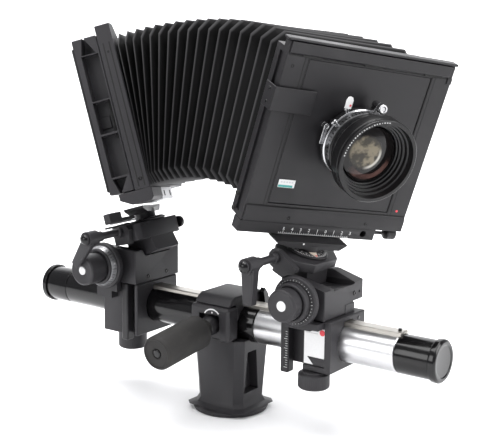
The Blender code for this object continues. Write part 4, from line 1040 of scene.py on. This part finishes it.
def film_side():
    """The format frame with its grooves and side holes drawn as dark bars and discs of painted shade, the back
    with its latches, and the ground glass in its holder.
    """
    body = "film_frame"
    fettled("format_frame", CRACKLE, 0.7)
    fettled("film_back", CRACKLE, 0.7)
    shift_bar()
    fettled("glass_holder", SATIN, 0.5)
    half = FILM.node_box("format_frame")[1][0]
    _, back_high = FILM.node_box("film_back")
    for side in (-1, 1):
        edge = side * half
        # painted shadow: dark bars stand in for the shade in the side grooves
        for depth in (5.2, 11.8):
            bar(f"frame_groove_shadow_{side}_{depth:.0f}", (edge - 0.35 * side - 0.6, edge - 0.35 * side + 0.6),
                (depth - 0.7, depth + 0.7), (-78.0, 78.0), FILM, SHADOW, body, bevel=0.2)
        screw_head(f"frame_side_screw_{side}", FILM, (edge, 8.5, -70.0), (side, 0, 0), 2.2, GLOSS, body)
        # painted shadow: a dark disc stands in for the shade inside the side hole
        disc(f"frame_side_hole_shadow_{side}", 1.4, 0.25, 1.0, FILM, (edge, 8.5, 68.0), (side, 0, 0), SHADOW, body,
            ease=0.4)
        inner = side * (half - 12.8)
        bar(f"latch_plate_{side}", (inner - 1.4, inner + 1.4), (27.0, 39.0), (-9.0, 4.0), FILM, SATIN, body,
            bevel=0.6)
        turned(f"latch_rod_{side}", [(0, -20.0), (1.6, -20.0), (1.6, 20.0), (0, 20.0)], FILM,
            (side * (half - 9.0), 23.0, -2.0), (0, 0, 1), SHADOW, body, sides=48)
        bar(f"back_edge_{side}", (side * (half - 5.0), edge), (back_high[1] - 0.4, back_high[1] + 1.8),
            (-76.0, 80.0), FILM, SATIN, body, bevel=0.5)
        clip = side * 50.0
        bar(f"back_clip_{side}", (clip - 6, clip + 6), (back_high[1] - 0.5, back_high[1] + 2.6), (64.0, 74.0),
            FILM, SATIN, body, bevel=0.8)
    thin = [(-62, back_high[2] - 0.5), (-46, back_high[2] - 0.5), (-47, back_high[2] + 3.2),
        (-61, back_high[2] + 3.2)]
    prism("back_lift_tab", thin, (back_high[1] - 4.0, back_high[1] - 2.4), "xz", FILM, SATIN, body, bevel=0.4)
    glass_low, glass_high = FILM.node_box("ground_glass")
    screen = "focusing_screen"
    bar("focusing_glass", *zip(glass_low, glass_high), FILM, SCREEN, screen, bevel=0.2, slot="coated_glass",
        replaces=("ground_glass",))
    lines = np.arange(-40.0, 40.1, 10.0)
    rows = [((x, glass_high[1] + 0.05, 0.0), (0.25, 0.12, 96.0)) for x in lines]
    rows += [((0.0, glass_high[1] + 0.05, z), (96.0, 0.12, 0.25)) for z in lines]
    ticks("screen_grid", [r[0] for r in rows], [r[1] for r in rows], FILM, GREY_MARK, screen)
    _, holder_high = FILM.node_box("glass_holder")
    for number, (x, z) in enumerate(((-55, 55), (55, 55), (-55, -55), (55, -55))):
        screw_head(f"holder_screw_{number}", FILM, (x, holder_high[1], z), (0, 1, 0), 2.2, STEEL, screen)
    for x in (-58.0, 58.0):
        bar(f"spring_arm_{x:.0f}", (x - 3.5, x + 3.5), (holder_high[1] + 0.2, holder_high[1] + 1.0),
            (-48.0, 48.0), FILM, STEEL, screen, bevel=0.3)


# ---------------------------------------------------------------- bellows

PLEATS, PLEAT_ROWS, PLEAT_DEPTH = 18, 8, 9.5
HALF_FRONT, HALF_REAR, REAR_LIFT = 87.0, 82.5, 3.0
CREST_CORNER, VALLEY_CORNER = 12.0, 19.0
REACH, FRONT_REACH, REAR_REACH = 0.38, 1.2, 0.8
CROWDING = 0.15
CHAIN_PLEATS = (1, 2, 2, 2, 2, 2, 2, 2, 2, 1)


def bellows():
    """The pleated tube, cut in valleys into one stretch for each joint between the two frames.

    Its middle line is a cubic that leaves both frames square. The pleats p from 0 to 1 lie at
    t = p + crowding*p(1-p) along it, closer at the film end, and have turned 0.45p + 0.55p^2 of the way
    by then. A section is a square of half-width h(t) - depth*fold, where fold runs straight from 1 in a
    valley to 0 on a crest and back, with corners cut wider in the valleys than on the crests. Top and
    bottom sag in the middle.
    """
    _, front_high = LENS.node_box("lens_frame")
    film_low, _ = FILM.node_box("format_frame")
    start = LENS.world([[0, front_high[1] + 0.3, 0]])[0] * 1000
    end = FILM.world([[0, film_low[1] - 0.3, REAR_LIFT]])[0] * 1000
    reach = np.linalg.norm(end - start) * REACH
    handles = np.array([start, start + LENS.axes[1] * reach * FRONT_REACH,
        end - FILM.axes[1] * reach * REAR_REACH, end])
    rows = PLEATS * PLEAT_ROWS + 1
    pleat = np.linspace(0, 1, rows)
    t = pleat + CROWDING * pleat * (1 - pleat)
    weights = np.stack([(1 - t) ** 3, 3 * t * (1 - t) ** 2, 3 * t ** 2 * (1 - t), t ** 3], -1)
    centres = weights @ handles
    axes = np.array([spin(LENS.axes, FILM.axes, share) for share in 0.45 * pleat + 0.55 * pleat ** 2])
    fold = np.abs(((PLEATS * pleat) % 1.0) * 2 - 1)
    half = HALF_FRONT + (HALF_REAR - HALF_FRONT) * t - PLEAT_DEPTH * fold
    corner = CREST_CORNER + (VALLEY_CORNER - CREST_CORNER) * fold
    section, along = square_section()
    x = section[None, :, 0] * half[:, None] + along[None, :, 0] * corner[:, None]
    z = section[None, :, 1] * half[:, None] + along[None, :, 1] * corner[:, None]
    sag = 1.0 * np.sin(np.pi * t)[:, None] * (np.abs(section[None, :, 1]) > 0.99)
    z = z - sag * np.sign(section[None, :, 1]) * (1 - np.abs(x) / 90.0)
    points = centres[:, None] + x[..., None] * axes[:, None, 0] + z[..., None] * axes[:, None, 2]
    crest = np.repeat((1 - fold)[:, None], section.shape[0], axis=1)
    first = 0
    for number, pleats in enumerate(CHAIN_PLEATS):
        last = first + pleats * PLEAT_ROWS
        stretch_of_bellows(number, points[first:last + 1], crest[first:last + 1])
        first = last


def spin(first, second, share):
    """Axes part of the way from one set to another, turning evenly about one axis."""
    a = Matrix(first.tolist()).transposed().to_quaternion()
    b = Matrix(second.tolist()).transposed().to_quaternion()
    return np.array(a.slerp(b, share).to_matrix().transposed())


def square_section(side_points=10, corner_points=5):
    """A unit square's outline with cut corners: each point is a share of the half-width plus a share of the
    corner's cut, so that both can change along the tube."""
    run = np.linspace(-1, 1, side_points)
    turn = np.linspace(0, 1, corner_points)[1:-1]
    sides = np.stack([np.ones(side_points), run], -1), np.stack([np.zeros(side_points), -run], -1)
    corners = np.ones((len(turn), 2)), np.stack([-turn, turn - 1], -1)
    base, cut = (np.concatenate(pair) for pair in zip(sides, corners))
    quarters = [np.array([[c, s], [-s, c]], float) for c, s in ((1, 0), (0, 1), (-1, 0), (0, -1))]
    return np.concatenate([base @ q for q in quarters]), np.concatenate([cut @ q for q in quarters])


def stretch_of_bellows(number, points, crest):
    """One stretch of the pleated surface between two neighbouring bodies."""
    rows, columns = points.shape[:2]
    name = f"bellows_stretch_{number + 1:02d}"
    mesh = mesh_of(name, points * 0.001, grid_faces(rows, columns, wrap=True))
    layer = mesh.attributes.new("crest", "FLOAT", "POINT")
    layer.data.foreach_set("value", crest.ravel().astype(np.float32))
    mesh.shade_smooth()
    mesh.set_sharp_from_angle(angle=math.radians(50))
    mesh.materials.append(LEATHER)
    piece = bpy.data.objects.new(name, mesh)
    bpy.context.scene.collection.objects.link(piece)
    normals_out(piece, points.mean(axis=(0, 1)) * 0.001)
    start, end = points[0].mean(0), points[-1].mean(0)
    margin = (end - start) * 0.14
    tuple((start + margin) * 0.001)
    tuple((end - margin) * 0.001)
    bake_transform(piece)
    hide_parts("bellows")


def normals_out(piece, centre):
    """Turns every face so that it points away from the tube's middle."""
    polygon = piece.data.polygons[0]
    outward = Vector(polygon.center) - Vector(centre)
    if polygon.normal.dot(outward) < 0:
        piece.data.flip_normals()


# ---------------------------------------------------------------- studio


def studio():
    """Pale paper sweep; softboxes overhead, on the lens side, on the knob side and for the backdrop."""
    width, rise, depth = 6000.0, 3200.0, 900.0
    s = np.linspace(0, 1, 60)[:, None]
    across = np.linspace(-width, width, 4)[None, :]
    heading = math.radians(CAMERA_HEADING)
    away = np.array([math.cos(heading), math.sin(heading), 0])
    side = np.array([-away[1], away[0], 0])
    bend = np.clip((s - 0.5) / 0.5, 0, 1)
    distance = np.where(s < 0.5, -4000 + s / 0.5 * 5600, 1600 + depth * np.sin(bend * np.pi / 2))
    height = np.where(s < 0.5, 0.0, depth * (1 - np.cos(bend * np.pi / 2)) + rise
        * np.clip(bend - 0.98, 0, 1) / 0.02)
    points = distance[..., None] * away + across[..., None] * side + (height - 0.4)[...,
        None] * np.array([0, 0, 1.0])
    points = points + np.zeros((60, 4, 1))
    f = Finish("paper_sweep", Roughness=0.9, Specular_IOR_Level=0.1)
    cloud = f.noise(3.0, detail=2.0)
    paper = f.set(Base_Color=f.mix(cloud, (0.86, 0.86, 0.87), (0.89, 0.89, 0.895)))
    mesh = mesh_of("paper_sweep", points * 0.001, grid_faces(60, 4))
    mesh.materials.append(paper)
    mesh.shade_smooth()
    floor = bpy.data.objects.new("paper_sweep", mesh)
    bpy.context.scene.collection.objects.link(floor)
    lights = (
        ("overhead_box", (-0.15, 0.05, 1.60), (0.0, 0.0, 0.1), (1.7, 1.5), 42.0),
        ("lens_side_box", (0.35, -1.65, 0.95), (0.0, -0.05, 0.22), (1.1, 1.1), 26.0),
        ("knob_side_box", (-1.75, 0.55, 0.85), (0.0, 0.05, 0.22), (0.9, 0.9), 12.0),
        ("backdrop_box", (0.60, 0.55, 2.30), (2.0, 1.5, 0.30), (2.0, 1.0), 95.0),
    )
    for name, at, target, size_m, power in lights:
        data = bpy.data.lights.new(name, "AREA")
        data.shape = "RECTANGLE"
        data.size, data.size_y = size_m
        data.energy = power
        lamp = bpy.data.objects.new(name, data)
        lamp.location = at
        lamp.rotation_euler = (Vector(target) - Vector(at)).to_track_quat("-Z", "Y").to_euler()
        bpy.context.scene.collection.objects.link(lamp)
    world = bpy.data.worlds.new("studio_air")
    world.use_nodes = True
    world.node_tree.nodes["Background"].inputs["Color"].default_value = (0.96, 0.97, 1.0, 1.0)
    world.node_tree.nodes["Background"].inputs["Strength"].default_value = 0.42
    bpy.context.scene.world = world
    bpy.context.scene.view_settings.view_transform = "Standard"


def camera():
    heading, pitch, roll = (math.radians(a) for a in (CAMERA_HEADING, CAMERA_PITCH, CAMERA_ROLL))
    forward = Vector((math.cos(heading) * math.cos(pitch), math.sin(heading) * math.cos(pitch),
        math.sin(pitch)))
    level = forward.cross(Vector((0, 0, 1))).normalized()
    upright = level.cross(forward)
    right = level * math.cos(roll) + upright * math.sin(roll)
    data = bpy.data.cameras.new("view")
    data.sensor_width = SENSOR_MM
    data.lens = FOCAL_PX * SENSOR_MM / PICTURE_WIDTH_PX
    lens_camera = bpy.data.objects.new("view", data)
    turn = Matrix((right, right.cross(forward), -forward)).transposed().to_4x4()
    turn.translation = Vector(CAMERA_AT) * 0.001
    lens_camera.matrix_world = turn
    bpy.context.scene.collection.objects.link(lens_camera)
    bpy.context.scene.camera = lens_camera


finish_cad_nodes()
stand()
grip()
rail()
lock_knobs()
for standard in ("front", "rear"):
    knob_set(standard)
    carrier_details(standard)
    tilt_bed_details(standard)
    cradle_details(standard)
    swing_details(standard)
lens_frame()
lens()
film_side()
bellows()
studio()
camera()
